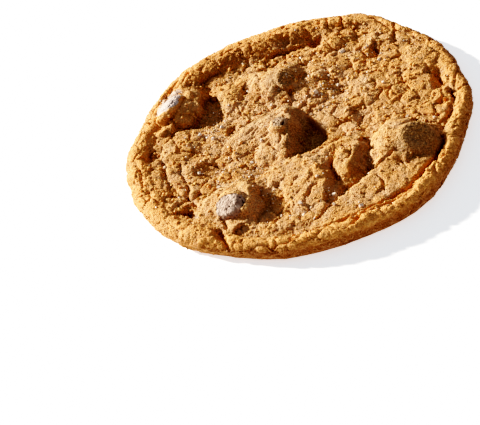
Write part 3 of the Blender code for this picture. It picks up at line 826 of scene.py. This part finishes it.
chips = {}
for chip_name, (middle, half_sizes, turns, face, face_cut, bloom_and_shade_share) in CHIPS.items():
    chip = new_mesh(
        bpy.ops.mesh.primitive_ico_sphere_add, chip_name + "_bloomed", subdivisions=6, radius=MM)
    ball = squashed(points_of(chip), middle, half_sizes, turns)
    face = np.array(face) / np.linalg.norm(face)
    proud = ball @ face
    cut = face_cut * proud.max()
    pressed = 0.4 * (proud - cut + np.sqrt((proud - cut) ** 2 + 0.2))
    ball = ball - pressed[:, None] * face + np.array(middle)
    x, y, z = ball.T
    marks = np.zeros(len(ball))
    for line in MARKS:
        marks = np.maximum(marks, stroke(x, seen_y(y, z), *line))
    ball = ball + (sandy_grain(x, y, z, middle) - MARK_DEPTH * marks)[:, None] * face
    add_values(chip, "mark", smooth(0.4, 1.0, marks))
    add_values(chip, "bloom_and_shade", np.full(len(ball), bloom_and_shade_share))
    move_points(chip, ball)
    chips[chip_name] = chip
print(len(chips), "chips of", len(chip.data.polygons), "faces")

# %% [markdown]
# ## Windows in the crust
# The dough runs over each chip as a thin skin and is torn open where the chip shows. Cutting
# the skin with a boolean would leave a clean edge, so it is done in the chart: rays from above
# read the chip's own top into it, the dough drops below that inside a window, and outside it
# lies a skin's thickness over it. Crumbs stay on in some windows, and the right and upper
# chips, which stand out steeply, have a skirt of dough round them.

# %% Window sizes
# How thick the skin is round a window, how much of the chip crumbs hide inside it, how wide
# the dough's skirt round the chip is, and the window's corners as the camera sees them.
WINDOWS = {
    "chip_front": (0.8, 0, 0, (
        (-24.6, -19.6), (-22.8, -17.5), (-19.5, -17.5), (-17.6, -19.4), (-17.2, -23),
        (-18.2, -26.6), (-20.4, -28), (-23, -27.2), (-24.9, -23.6))),
    "chip_left": (0.5, 0, 0, (
        (-34, 22), (-32.9, 25.8), (-30, 29.8), (-26.6, 30.6), (-25.4, 28.8), (-26.8, 26.2),
        (-28, 24.4), (-31, 22.9))),
    "chip_middle": (0.35, 0.55, 0, (
        (-5.6, 3.2), (-5.2, 5.4), (-3.8, 6.6), (-2, 5.8), (-1.8, 3.4), (-3, 1.8), (-4.2, 2.4))),
    "chip_right": (0.35, 0.84, 0.9, (
        (25.2, -13.8), (28.6, -12.8), (31, -16), (31.4, -20.5), (29.8, -24.2), (27, -24.2),
        (25.4, -21.8), (24.6, -17.6))),
    "chip_upper": (0.35, 0.8, 0.9, (
        (-1.2, 18), (-1.6, 21), (0.4, 24.2), (2.8, 24.4), (4.4, 21), (3.8, 17.6), (1.2, 16.6))),
}
SKIRT_FOOT, SKIRT_GAIN = 3.4, 1.6     # its foot's height in mm, and how steeply it rises
HIGHEST = 8.5                         # mm, and what would stand higher is pressed down
RAY_FROM, CHIP_REACH = 30.0, 7.0      # mm
NO_CHIP = -9.0


def chip_chart(chip, middle):
    """The chip's highest point at each place of the chart, and NO_CHIP where it isn't."""
    tree = BVHTree.FromObject(chip, bpy.context.evaluated_depsgraph_get())
    chart = np.full_like(X, NO_CHIP)
    for j, i in np.argwhere(np.hypot(X - middle[0], Y - middle[1]) < CHIP_REACH):
        start = Vector((X[j, i], Y[j, i], RAY_FROM)) * MM
        hit = tree.ray_cast(start, Vector((0.0, 0.0, -1.0)))[0]
        if hit:
            chart[j, i] = hit.z / MM
    return chart


print(len(WINDOWS), "windows")


# %% Skirts, skins and windows
def with_skirt(top, chip_top, width):
    """The top, raised round a chip by a soft foot of dough that stays below the chip."""
    rise = SKIRT_GAIN * (blur(np.maximum(chip_top, SKIRT_FOOT), width) - SKIRT_FOOT)
    rise = np.where(chip_top > 0.0, np.minimum(rise, chip_top - 0.6 - SKIRT_FOOT), rise)
    around = SKIRT_FOOT + rise + 0.8 * detail
    return np.where(around > SKIRT_FOOT + 0.3, np.maximum(top, around), top)


bare = np.zeros_like(X)
for chip_name, chip in chips.items():
    middle = CHIPS[chip_name][0]
    thickness, hidden, skirt, corners = WINDOWS[chip_name]
    chip_top = chip_chart(chip, middle)
    chip_seen = seen_y(Y, chip_top)
    over = chip_top > 0.0
    if skirt:
        top = with_skirt(top, chip_top, skirt)
    ragged = inside_of(X, chip_seen, corners) + 0.5 * rough(X, chip_seen, 1.6, middle[0])
    window = np.where(over, smooth(-0.10, 0.15, ragged), 0.0)
    if hidden:
        sprinkled = 0.5 + 0.5 * rough(X, chip_seen, 0.7, middle[1])
        sprinkled = sprinkled + 0.15 * np.clip(ragged, -1.0, 1.0)
        window = window * smooth(hidden - 0.08, hidden + 0.08, sprinkled)
    lid = chip_top + thickness * np.maximum(0.35 + 0.6 * np.clip(detail, -0.4, 0.6), 0.15)
    covered = np.where(over, soft_max(top, lid, (0.45 * skirt) ** 2), top)
    top = covered + (np.minimum(top, chip_top - 0.4) - covered) * window
    skin = np.maximum(skin, 0.7 * smooth(0.0, 1.0, np.where(over, chip_top - base, 0.0)))
    bare = np.maximum(bare, window)
top = top - 0.7 * np.clip(top - HIGHEST, 0.0, None)
print("bare chocolate on", short(bare.sum() * PITCH * PITCH), "square mm")

# %% [markdown]
# ## The dough
# The dough starts as a flat cylinder with a bevelled edge, as the solid did. A voxel remesh
# gives it evenly spaced points, the chart lifts them, and a decimate takes points away where
# the surface is nearly flat, such as underneath. A grid over the chart would be simpler, but
# it has no wall and no underside.

# %% Dough
VOXEL = 0.26                # mm
DOUGH_TRIANGLES = 197000    # triangles left after the decimate; just under what one mesh may have


def apply_all(piece):
    """Applies the piece's modifiers in turn."""
    bpy.context.view_layer.objects.active = piece
    for modifier in list(piece.modifiers):
        bpy.ops.object.modifier_apply(modifier=modifier.name)


dough = new_mesh(
    bpy.ops.mesh.primitive_cylinder_add, "baked_dough",
    vertices=200, radius=RADIUS * MM, depth=EDGE * MM, location=(0.0, 0.0, EDGE * MM / 2))
bpy.ops.object.transform_apply(location=True)
rounding = dough.modifiers.new("rounding", "BEVEL")
rounding.width = EDGE_ROUND * MM
rounding.segments = 6
rounding.limit_method = "ANGLE"
remesh = dough.modifiers.new("even_points", "REMESH")
remesh.mode = "VOXEL"
remesh.voxel_size = VOXEL * MM
apply_all(dough)
print("remeshed to", len(dough.data.vertices), "points")

# %% Lifting the dough to the chart
x, y, z = points_of(dough).T
turn = np.degrees(np.arctan2(y, x))
grow = outline(turn) / RADIUS
x, y = x * grow, y * grow
half = EDGE / 2.0
upper = np.clip((z - half) / half, 0.0, 1.0)
fuller = 1.0 - 0.5 * facing(turn, -78.0, 40.0)
z = np.where(z > half, half + upper ** fuller * (read(top, x, y) - half), z)
move_points(dough, np.stack((x, y, z), 1))
triangles = sum(len(face.vertices) - 2 for face in dough.data.polygons)
thin = dough.modifiers.new("thin_out", "DECIMATE")
thin.ratio = DOUGH_TRIANGLES / triangles
apply_all(dough)
print("dough of", len(dough.data.polygons), "faces")

# %% [markdown]
# ## Wall and overhangs
# The rim's outer wall isn't in the chart. It is pushed in and out by lumps and by cracks that
# run along the edge. Then the crumbs on the top are widened a little where they stand up,
# which makes the dark overhung cracks that a chart of heights alone can't have.

# %% Wall and overhangs
x, y, z = points_of(dough).T
reach = np.hypot(x, y)
to_edge = inside_edge(x, y)
turn = np.degrees(np.arctan2(y, x))
along = np.radians(turn) * RADIUS
wall = smooth(2.6, 0.8, to_edge) * smooth(0.0, 1.0, z)

bent_along = along / 1.9 + 0.3 * rough(along, z, 2.0, 3.1)
bent_z = z + 0.4 * rough(along, z, 1.6, 3.4)
first, second, name, tilt = cells(bent_along, bent_z, 1.5, 2.2)
push = 0.34 * (name - 0.5) + 0.25 * (0.5 - first) - 0.36 * smooth(0.2, 0.0, second - first)
first, second, name, tilt = cells(along, z, 0.7, 4.2)
push = push + 0.15 * (name - 0.5) + 0.15 * (0.5 - first)
push = push + 0.35 * wander(along, z, 5.0, 6.2)
push = wall * (push - 0.30 + 0.20 * read(np.maximum(sunny_side, far_side), x, y))
x, y = x * (1.0 + push / reach.clip(1.0)), y * (1.0 + push / reach.clip(1.0))

slope_y, slope_x = np.gradient(blur(top, 0.35), PITCH)
widen = 0.10 * smooth(1.0, 3.0, z) * smooth(0.5, 2.0, to_edge)
x = x - widen * np.clip(read(slope_x, x, y), -1.5, 1.5)
y = y - widen * np.clip(read(slope_y, x, y), -1.5, 1.5)
z = np.where(z < 0.15, 0.0, z)
move_points(dough, np.stack((x, y, z), 1))
print("wall pushed by", short(push.min()), "to", short(push.max()), "mm")

# %% [markdown]
# ## Relief and warmth
# Syrup gathers in the cracks, the rim browns first, and the skins over the chips dry pale.
# The materials could guess at that from the mesh, but the chart knows it exactly, so it is
# worked out here as numbers: how far a point stands above or below its surroundings, at two
# sizes, and how warm or pale its colour is. The cracks are also painted darker as shade, and
# the inner slope of the far rim, which faces away from the lamp, is painted darker as shade.

# %% Relief and warmth
# Paler and warmer places: middle x, y, reach, how much warmer.
TINTED = (
    (-1, 5, 15, -0.75), (-21, 10, 8, -0.3), (-23, -4, 5, -0.3), (16, -6, 5, -0.3),
    (2, -32, 6, -0.3), (-16, -26, 7, -0.25), (24, 15, 4, 0.4), (24, 4, 3, 0.4), (32, -2, 6, 0.3),
    (-1, -24, 4, 0.5), (-23, -36, 4, 0.7), (6, -40, 4, 0.5), (-31.5, 17.5, 4.5, 0.9),
    (20, 32, 7, 0.2), (38, 6, 9, 0.4),
)

low_small = blur(top, 0.5)
low_large = blur(top, 1.6)
fine_relief = np.clip((top - low_small) / 0.5, -1.0, 1.0)
broad_relief = np.clip((low_small - low_large) / 0.9, -1.0, 1.0)

warm = (0.60 * wander(X, Y, 5.5, 51.0) + 0.70 * wander(X, Y, 2.4, 52.0)
        + 0.35 * wander(X, Y, 1.2, 53.0))
for cx, cy, reach, amount in TINTED:
    warm = warm + amount * np.exp(-((X - cx) ** 2 + (Y - cy) ** 2) / reach ** 2)
brown_width = 3.5 + 2.5 * far_side + 3.0 * sunny_side + 2.0 * near_side
browned = smooth(1.35, 0.55, inward / brown_width)
warm = np.clip(warm + browned * (0.30 + 0.75 * sunny_side + 0.15 * near_side + 0.35 * far_side
                                 + 0.8 * shaded_side), -1.0, 1.0)
# The far rim's inner slope faces away from the lamp and is painted darker there, as shade.
far_rim_shade_reach = inward + 1.5 * wander(X, Y, 4.0, 63.0)
far_rim_painted_shade = 0.42 * far_side * smooth(4.0, 6.5, inward) * smooth(13.0, 9.5, far_rim_shade_reach)
print("warmest", short(warm.max()), "palest", short(warm.min()))

# %% [markdown]
# ## Chocolate stains and painted shade
# Melted chocolate stains the steep sides of the hills and the floors of the pits, and shows
# through the thin crust over three of the chips. These places lie in shade, and the same dark
# brown is also painted shade there. Beside the left chip chocolate is smeared over the dough,
# and bloomed as pale as the chip.

# %% Stains
# As the camera sees them: x, y, half width and height, how much stain and painted shade.
STAINED_AND_SHADED = ((-0.2, 20.4, 3.8, 4.6, 0.75), (26.8, -19.6, 6.0, 8.0, 0.8), (-3.4, 2.4, 2.6, 4.2, 0.55))

# Painted shade on the steep sides and pit floors, together with chocolate stain.
stain_and_shade = np.maximum(lee_stain_and_shade, pit_stain_and_shade) * np.clip(0.85 + 0.5 * wander(X, Y, 1.6, 62.0), 0.0, 1.0)
top_seen = seen_y(Y, top)
for cx, cy, wide, high, amount in STAINED_AND_SHADED:
    edge = np.hypot((X - cx) / wide, (top_seen - cy) / high) + 0.25 * rough(X, Y, 1.6, 61.0)
    stain_and_shade = np.maximum(stain_and_shade, amount * smooth(1.25, 0.65, edge))
left_window = WINDOWS["chip_left"][-1]
smear = smooth(-0.2, 0.5, inside_of(X + 0.5 * bend_x, top_seen, left_window)) * smooth(3.8, 4.4, top)
print("stained over", short(stain_and_shade.sum() * PITCH * PITCH), "square mm")


# %% Colour values on a piece
def dress(piece):
    """Stores the colour values of a piece that lies on the chart."""
    px, py, pz = points_of(piece).T
    edge = inside_edge(px, py)
    on_wall = smooth(3.0, 1.5, pz) * smooth(3.0, 1.0, edge)
    # The wall is tinted as toasted crust but not on the lamp side, so the tint is partly painted
    # shade.
    wall_toast_and_shade = smooth(3.0, 0.6, edge) * smooth(4.8, 3.0, pz) * (1.0 - 0.9 * read(sunny_side, px, py))
    add_values(piece, "fine", read(fine_relief, px, py) * (1.0 - on_wall))
    add_values(piece, "broad", read(broad_relief, px, py) * (1.0 - on_wall))
    add_values(piece, "wall", np.maximum(wall_toast_and_shade, read(far_rim_painted_shade, px, py)))
    add_values(piece, "under", smooth(0.6, 0.1, pz))
    for name, chart in (("warm", warm), ("skin", skin), ("stain_and_shade", stain_and_shade), ("smear", smear)):
        add_values(piece, name, read(chart, px, py))


dress(dough)
print("dough has", len(dough.data.attributes), "attributes")

# %% [markdown]
# ## Crumbs, grains and sugar
# Loose crumbs and grains stick to the crust, half sunk in it. A particle system would scatter
# them, but its copies aren't real meshes. So one low-poly crumb is modelled, each copy gets
# its own place, turn, size and lumps from a seeded draw, and all of a kind are one mesh.

# %% Scatter
def surface(piece):
    """Corners, normals and areas of the piece's triangles, in mm."""
    piece.data.calc_loop_triangles()
    index = np.empty(len(piece.data.loop_triangles) * 3, dtype=np.int32)
    piece.data.loop_triangles.foreach_get("vertices", index)
    corners = points_of(piece)[index.reshape(-1, 3)]
    across = np.cross(corners[:, 1] - corners[:, 0], corners[:, 2] - corners[:, 0])
    length = np.linalg.norm(across, axis=1).clip(1e-9)
    return corners, across / length[:, None], length / 2.0


def scatter(name, model, count, sizes, density, sink, seed, tones=(0.3, 1.0)):
    """Copies of a small model, stuck on the dough where a density says, as one mesh."""
    draw = np.random.RandomState(seed)
    corners, normals, areas = surface(dough)
    chance = areas * density(corners.mean(axis=1), normals)
    picked = draw.choice(len(areas), count, p=chance / chance.sum())
    mix = draw.dirichlet((1.0, 1.0, 1.0), count)
    places = (corners[picked] * mix[:, :, None]).sum(axis=1)
    size = sizes[0] + (sizes[1] - sizes[0]) * draw.random_sample(count) ** 1.6
    places = places + normals[picked] * (size * sink)[:, None]
    turns = np.linalg.qr(draw.normal(size=(count, 3, 3)))[0]
    turns[:, :, 0] *= np.sign(np.linalg.det(turns))[:, None]
    shape = points_of(model)
    scale = size[:, None] * draw.uniform(0.7, 1.0, (count, 3))
    lumpy = 1.0 + 0.18 * draw.normal(size=(count, len(shape), 1)).clip(-1.5, 1.5)
    copies = shape[None] * lumpy * scale[:, None, :]
    copies = np.einsum("nij,nkj->nki", turns, copies) + places[:, None, :]
    faces = np.array([list(face.vertices) for face in model.data.polygons])
    faces = (faces[None] + len(shape) * np.arange(count)[:, None, None]).reshape(-1, faces.shape[1])
    mesh = bpy.data.meshes.new(name)
    mesh.from_pydata((copies.reshape(-1, 3) * MM), [], faces.tolist())
    piece = bpy.data.objects.new(name, mesh)
    bpy.context.scene.collection.objects.link(piece)
    add_values(piece, "tone", np.repeat(draw.uniform(*tones, count), len(shape)))
    return piece


print("crust to scatter on:", short(surface(dough)[2].sum()), "square mm")

# %% [markdown]
# ## Where the grains lie
# Grains lie everywhere but underneath and on bare chocolate, and loose crumbs mostly among
# the crags. Sugar was sprinkled by hand, so it lies in patches.

# %% Densities
# Middle x, y and reach of the patches of sugar.
SUGARED = (
    (-21, 8.5, 5), (-18, -9, 6), (-14, -12, 4), (0, -31, 6), (6, 15, 6), (4, 24, 5), (9, 8, 5),
    (12, 12, 6), (-13, -22, 4), (-19, 15, 4), (10, -37, 5), (24, 20, 6),
)


def on_crust(places, normals):
    """Everywhere but underneath and on bare chocolate."""
    clear = 1.0 - read(bare, places[:, 0], places[:, 1])
    return clear * smooth(0.3, 1.0, places[:, 2]) * (0.35 + 0.65 * smooth(-0.2, 0.5, normals[:, 2]))


def in_plain(places, normals):
    """More in the craggy parts than on the smooth skins."""
    smooth_skin = read(np.maximum(skin, plate), places[:, 0], places[:, 1])
    from_edge = smooth(1.0, 5.0, inside_edge(places[:, 0], places[:, 1]))
    return on_crust(places, normals) * (1.0 - 0.85 * smooth_skin) * from_edge


def in_patches(places, normals):
    """Thick in the patches of sugar and thin between them."""
    thick = np.full(len(places), 0.05)
    for px, py, reach in SUGARED:
        thick = thick + np.exp(-((places[:, 0] - px) ** 2 + (places[:, 1] - py) ** 2) / reach ** 2)
    return in_plain(places, normals) * thick


print(len(SUGARED), "patches of sugar")

# %% Grains, crumbs and sugar
ball = new_mesh(bpy.ops.mesh.primitive_ico_sphere_add, subdivisions=1, radius=0.5 * MM)
block = new_mesh(bpy.ops.mesh.primitive_cube_add, size=MM)

# Model, how many, sizes in mm, where, how far out of the crust, and the seed.
grains = scatter("crust_grains", ball, 9900, (0.20, 0.42), on_crust, 0.02, 11)
toasted = scatter("toasted_grains", ball, 6000, (0.20, 0.38), on_crust, 0.02, 14, tones=(0.0, 0.5))
loose = scatter("loose_crumbs", ball, 1500, (0.5, 1.3), in_plain, 0.0, 12)
sugar = scatter("sugar_grains", block, 600, (0.18, 0.42), in_patches, 0.20, 13)
bpy.data.objects.remove(ball)
bpy.data.objects.remove(block)
grain_pieces = (grains, toasted, loose)
for piece in (*grain_pieces, sugar):
    dress(piece)
    print(piece.name, len(piece.data.polygons), "faces")

# %% [markdown]
# ## Salt crystals
# Coarse salt was pressed into the dough before it was baked. It lies where the solid has it:
# twenty crystals placed one by one, and sixteen drawn at random with the solid's seed, none
# of them near a chip. Each is a cube of its own proportions with worn edges, a fifth smaller
# than the solid's block.

# %% Where the salt lies
# Middle x, y, size.
CRYSTALS = (
    (17.4, 24.6, 1.7), (25.6, 16.8, 1.6), (-24.2, 9.6, 1.5), (-18.2, 9.8, 1.4), (-21.2, 6.4, 1.2),
    (-34.8, 1.6, 1.5), (-23, -13.4, 1.5), (4.6, 3.6, 1.3), (7.4, 11, 1.3), (14.2, 4.6, 1.4),
    (13.4, 12.2, 1.2), (-4.8, -29.8, 1.4), (-4.9, -33, 1.2), (1.2, -32, 1.4), (2.8, -34.2, 1.3),
    (8.8, -37.6, 1.4), (-2.6, -31.8, 1.3), (3.6, -29.6, 1.5), (6.6, 28, 1.1), (33, -13.2, 1.1),
)
MORE_CRYSTALS = 16
CRYSTAL_SEED = 7
BETWEEN_CRYSTALS, BESIDE_CHIPS = 3.5, 1.5     # mm
CRYSTAL_SHARE = 0.8                           # of the size of the solid's block


def crystal_spots():
    """The placed crystals and the drawn ones: x, y and size of each."""
    draw = random.Random(CRYSTAL_SEED)
    spots = list(CRYSTALS)
    while len(spots) < len(CRYSTALS) + MORE_CRYSTALS:
        far_out = 36.0 * math.sqrt(draw.random())
        bearing = draw.uniform(0.0, 2.0 * math.pi)
        sx, sy = far_out * math.cos(bearing), far_out * math.sin(bearing)
        clear = all(math.hypot(sx - spot[0], sy - spot[1]) > BETWEEN_CRYSTALS for spot in spots)
        clear_of_chips = all(
            math.hypot(sx - middle[0], sy - middle[1]) > max(half_sizes[:2]) + BESIDE_CHIPS
            for middle, half_sizes, *rest in CHIPS.values())
        if clear and clear_of_chips:
            spots.append((sx, sy, draw.uniform(0.9, 1.3)))
    return spots


print(len(crystal_spots()), "places for salt")

# %% Salt
draw = random.Random(CRYSTAL_SEED + 1)
crystals = []
for sx, sy, size in crystal_spots():
    height = float(read(top, np.array([sx]), np.array([sy]))[0])
    crystal = new_mesh(
        bpy.ops.mesh.primitive_cube_add,
        size=CRYSTAL_SHARE * size * MM, location=(sx * MM, sy * MM, (height + 0.1 * size) * MM))
    crystal.rotation_euler = [draw.uniform(0.0, math.pi) for axis in range(3)]
    crystal.scale = (draw.uniform(0.8, 1.1), draw.uniform(0.7, 1.0), draw.uniform(0.6, 0.8))
    bpy.ops.object.transform_apply(location=True, rotation=True, scale=True)
    crystals.append(crystal)

bpy.ops.object.select_all(action="DESELECT")
for crystal in crystals:
    crystal.select_set(True)
bpy.context.view_layer.objects.active = crystals[0]
bpy.ops.object.join()
salt = bpy.context.active_object
salt.name = "salt_crystals"
edges = salt.modifiers.new("worn_edges", "BEVEL")
edges.width = 0.12 * MM
edges.segments = 1
apply_all(salt)
print("salt of", len(salt.data.polygons), "faces")

# %% [markdown]
# ## Baked dough, the material
# Baked dough is matte and pale where it is dry, and darker and a little glossy where sugar
# syrup boiled in the cracks, and that darkening in the cracks is also painted shade. The rim is
# browned by the hot tray. Light goes a little way into it, which softens the smallest shadows.
# Its colour could be painted, but it follows the relief everywhere: it is one ramp over the
# relief, darker in the hollows as painted shade, and then a few tints on top, each by a stored
# number or by noise with patches of a real size.

# %% What the dough's material reads
baked = new_material("baked_dough_crackled_crumb")
spot = node(baked, "ShaderNodeTexCoord").outputs["Object"]
stored = {}
for name in ("fine", "broad", "warm", "wall", "skin", "stain_and_shade", "smear", "under"):
    stored[name] = node(baked, "ShaderNodeAttribute", attribute_name=name).outputs["Fac"]
clouds = {}
for name, size_mm, steps in (("patch", 7.0, 3.0), ("speck", 0.5, 2.0), ("pinhole_shade", 0.9, 3.0),
                             ("sand", 0.35, 3.0), ("dust", 0.3, 4.0)):
    clouds[name] = node(baked, "ShaderNodeTexNoise", {
        "Vector": spot, "Scale": 1.0 / (size_mm * MM), "Detail": steps}).outputs["Fac"]
grit = node(baked, "ShaderNodeTexVoronoi", {"Vector": spot, "Scale": 1.0 / (0.42 * MM)})

relief = stored["fine"]
clean = node(baked, "ShaderNodeMapRange", {0: stored["stain_and_shade"], 3: 1.0, 4: 0.25}).outputs[0]
some_sand = stored["skin"]
sand = node(baked, "ShaderNodeMath", {0: clouds["sand"], 1: -0.5}, operation="ADD").outputs[0]
for operation, value in (("ADD", stored["broad"]), ("MULTIPLY", clean)):
    relief = node(baked, "ShaderNodeMath", {0: relief, 1: value}, operation=operation).outputs[0]
for value in (stored["stain_and_shade"], 0.5):
    some_sand = node(baked, "ShaderNodeMath", {0: some_sand, 1: value}, operation="MAXIMUM").outputs[0]
sand = node(baked, "ShaderNodeMath", {0: sand, 1: some_sand}, operation="MULTIPLY").outputs[0]
print("dough reads", len(stored), "stored numbers and", len(clouds), "noises")

# %% The dough's colour
# The ramp runs from dark in the hollows to pale on the tops: partly syrup, partly painted shade.
height = node(baked, "ShaderNodeMapRange", {0: relief, 1: -1.3, 2: 1.0}).outputs[0]
tint = node(baked, "ShaderNodeValToRGB", {0: height}, stops=(
    (0.0, "6A452B"), (0.2, "8E6542"), (0.42, "A07148"), (0.62, "B88154"), (0.95, "D89C64"))).outputs[0]
tint = tinted(baked, tint, (
    (clouds["patch"], 0.45, 0.7, 0.45, "B87C4E"),  # unevenly mixed dough
    (clouds["speck"], 0.42, 0.66, 0.50, "E0A86E"),  # pale grains of flour and sugar
    (clouds["pinhole_shade"], 0.42, 0.30, 0.35, "98693F"),  # dark specks, painted as the shade in pin holes
    (stored["skin"], 0.1, 0.9, 0.50, "DDA777"),  # dry skins over the chips
    (stored["warm"], 0.0, 1.0, 0.80, "DE9A5D"),  # golden places
    (stored["warm"], 0.0, -1.0, 0.75, "D2A680"),  # pale ones
    (stored["stain_and_shade"], 0.0, 1.0, 0.75, "8E7050"),  # melted chocolate, and painted shade on steep sides, pit floors and shaded chip faces
    (stored["smear"], 0.0, 1.0, 0.75, "D8C6B8"),  # bloomed chocolate
    (stored["wall"], 0.0, 1.0, 0.85, "84502C"),  # toasted wall, with painted shade away from the lamp and on the far rim's inner slope
    (stored["under"], 0.0, 1.0, 0.90, "A8703F"),  # the underside
    (sand, 0.02, 0.12, 0.50, "E6B47E"), (sand, -0.02, -0.12, 0.50, "74502F")))
print("dough material of", len(baked.node_tree.nodes), "nodes so far")

# %% The dough's surface
gloss = node(baked, "ShaderNodeMapRange", {0: relief, 1: -0.6, 2: 0.3, 3: 0.5, 4: 0.85}).outputs[0]
pebbled = node(baked, "ShaderNodeBump", {
    "Height": grit.outputs["Distance"], "Strength": 0.8, "Distance": 0.20 * MM}, invert=True)
sandy = node(baked, "ShaderNodeBump", {
    "Height": clouds["dust"], "Strength": 0.8, "Distance": 0.2 * MM, "Normal": pebbled.outputs[0]})
# Light reaches about 1 mm into dough, red furthest.
glow_through = {
    "Subsurface Weight": 0.25, "Subsurface Scale": 1.0 * MM, "Subsurface Radius": (0.7, 0.55, 0.4)}
crust = node(baked, "ShaderNodeBsdfPrincipled", {
    "Base Color": tint, "Roughness": gloss, "Normal": sandy.outputs[0], "IOR": 1.45,
    "Specular IOR Level": 0.25, **glow_through})
node(baked, "ShaderNodeOutputMaterial", {"Surface": crust.outputs[0]})
dough.data.materials.append(baked)
print("dough material of", len(baked.node_tree.nodes), "nodes")

# %% [markdown]
# ## Dry crumb
# Loose crumbs and grains are the same dough, broken and dried, so each has its own tone:
# golden, pinkish tan or toasted. They could share the dough's material, but then they would
# sink into its colours. So their own tone comes first, and only the broad tints follow the
# crust under them.

# %% Crumb material
crumb = new_material("dry_crumb")
stored = {}
for name in ("tone", "broad", "warm", "wall", "skin", "stain_and_shade"):
    stored[name] = node(crumb, "ShaderNodeAttribute", attribute_name=name).outputs["Fac"]
tint = node(crumb, "ShaderNodeValToRGB", {0: stored["tone"]}, stops=(
    (0.02, "A87850"), (0.3, "C28B5E"), (0.5, "D29E6A"), (0.7, "D6A466"), (0.98, "DEA972"))).outputs[0]
# Crumbs in broad hollows are darkened as painted shade, and the stain and wall tints carry the crust's
# painted shade too.
tint = tinted(crumb, tint, (
    (stored["broad"], -0.1, -0.7, 0.60, "946946"), (stored["skin"], 0.1, 0.9, 0.30, "DDAC7C"),
    (stored["warm"], 0.0, 1.0, 0.75, "DE9A5D"), (stored["warm"], 0.0, -1.0, 0.50, "D8A87E"),
    (stored["stain_and_shade"], 0.0, 1.0, 0.70, "8C6E4A"), (stored["wall"], 0.0, 1.0, 0.85, "84502C")))
dry = node(crumb, "ShaderNodeBsdfPrincipled", {
    "Base Color": tint, "Roughness": 0.8, "Specular IOR Level": 0.25, **glow_through})
node(crumb, "ShaderNodeOutputMaterial", {"Surface": dry.outputs[0]})
for piece in grain_pieces:
    piece.data.materials.append(crumb)
print("crumb material on", len(grain_pieces), "pieces")

# %% [markdown]
# ## Sugar and salt
# Coarse sugar and salt are crystals with faces frosted by the oven, so they look warm white
# with a few bright glints. Clear glass would show the dough through them and nearly vanish.

# %% Sugar and salt material
frosted = new_material("frosted_sugar_crystal")
spot = node(frosted, "ShaderNodeTexCoord").outputs["Object"]
frost = node(frosted, "ShaderNodeTexNoise", {
    "Vector": spot, "Scale": 1.0 / (3.0 * MM), "Detail": 3.0}).outputs["Fac"]
tint = node(frosted, "ShaderNodeValToRGB", {0: frost}, stops=((0.38, "D0A67C"), (0.62, "FAE8D2")))
gloss = node(frosted, "ShaderNodeMapRange", {0: frost, 1: 0.35, 2: 0.65, 3: 0.30, 4: 0.55})
crystal = node(frosted, "ShaderNodeBsdfPrincipled", {
    "Base Color": tint.outputs[0], "Roughness": gloss.outputs[0], "IOR": 1.54,
    "Transmission Weight": 0.12})
node(frosted, "ShaderNodeOutputMaterial", {"Surface": crystal.outputs[0]})
for piece in (sugar, salt):
    piece.data.materials.append(frosted)
print("crystal material on", sugar.name, "and", salt.name)

# %% [markdown]
# ## Bloomed chocolate
# Bloom is a thin greyish-mauve haze on brown chocolate, whitest where it is thickest. The chips
# whose bare faces turn away from the lamp are given little of it and stay olive brown, partly as
# painted shade. One material mixes the two by each chip's own number. Holes and cracks in it
# are nearly black.

# %% Chocolate material
chocolate = new_material("bloomed_chocolate")
spot = node(chocolate, "ShaderNodeTexCoord").outputs["Object"]
bloom_and_shade = node(chocolate, "ShaderNodeAttribute", attribute_name="bloom_and_shade").outputs["Fac"]
mark = node(chocolate, "ShaderNodeAttribute", attribute_name="mark").outputs["Fac"]
haze, dust = (node(chocolate, "ShaderNodeTexNoise", {
    "Vector": spot, "Scale": 1.0 / (size_mm * MM), "Detail": steps}).outputs["Fac"]
    for size_mm, steps in ((1.2, 6.0), (0.4, 4.0)))
pale = node(chocolate, "ShaderNodeValToRGB", {0: haze}, stops=(
    (0.3, "8C6F5E"), (0.5, "AE927E"), (0.7, "D2B8A4"))).outputs[0]
brown = node(chocolate, "ShaderNodeValToRGB", {0: haze}, stops=((0.3, "80624A"), (0.65, "AA8862")))
tint = node(chocolate, "ShaderNodeMix", {
    0: bloom_and_shade, 6: brown.outputs[0], 7: pale}, data_type="RGBA").outputs[2]
tint = tinted(chocolate, tint, ((bloom_and_shade, 0.9, 1.0, 0.45, "E2D2C6"), (mark, 0.0, 1.0, 1.0, "40281C")))
dusty = node(chocolate, "ShaderNodeBump", {"Height": dust, "Strength": 0.7, "Distance": 0.2 * MM})
waxy = node(chocolate, "ShaderNodeBsdfPrincipled", {
    "Base Color": tint, "Roughness": 0.65, "IOR": 1.46, "Specular IOR Level": 0.3,
    "Normal": dusty.outputs[0]})
node(chocolate, "ShaderNodeOutputMaterial", {"Surface": waxy.outputs[0]})
for chip in chips.values():
    chip.data.materials.append(chocolate)
print("chocolate material on", len(chips), "chips")

# %% [markdown]
# ## Put it together
# Every piece moves by the same small step as the solids did and rides on the cookie's only
# body. The dough and the chips stand for their solids, and the salt, the sugar and the crumbs
# lie on them.

# %% Riding and replacing
for piece in (dough, *grain_pieces, sugar, salt, *chips.values()):
    piece.data.transform(Matrix.Translation((SHIFT[0] * MM, SHIFT[1] * MM, 0.0)))
    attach(piece, "root")
for piece in (dough, *chips.values()):
    piece.data.shade_smooth()
for chip_name, chip in chips.items():
    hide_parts(chip_name)
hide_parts("dough")
print("replaced: dough,", ", ".join(chips))
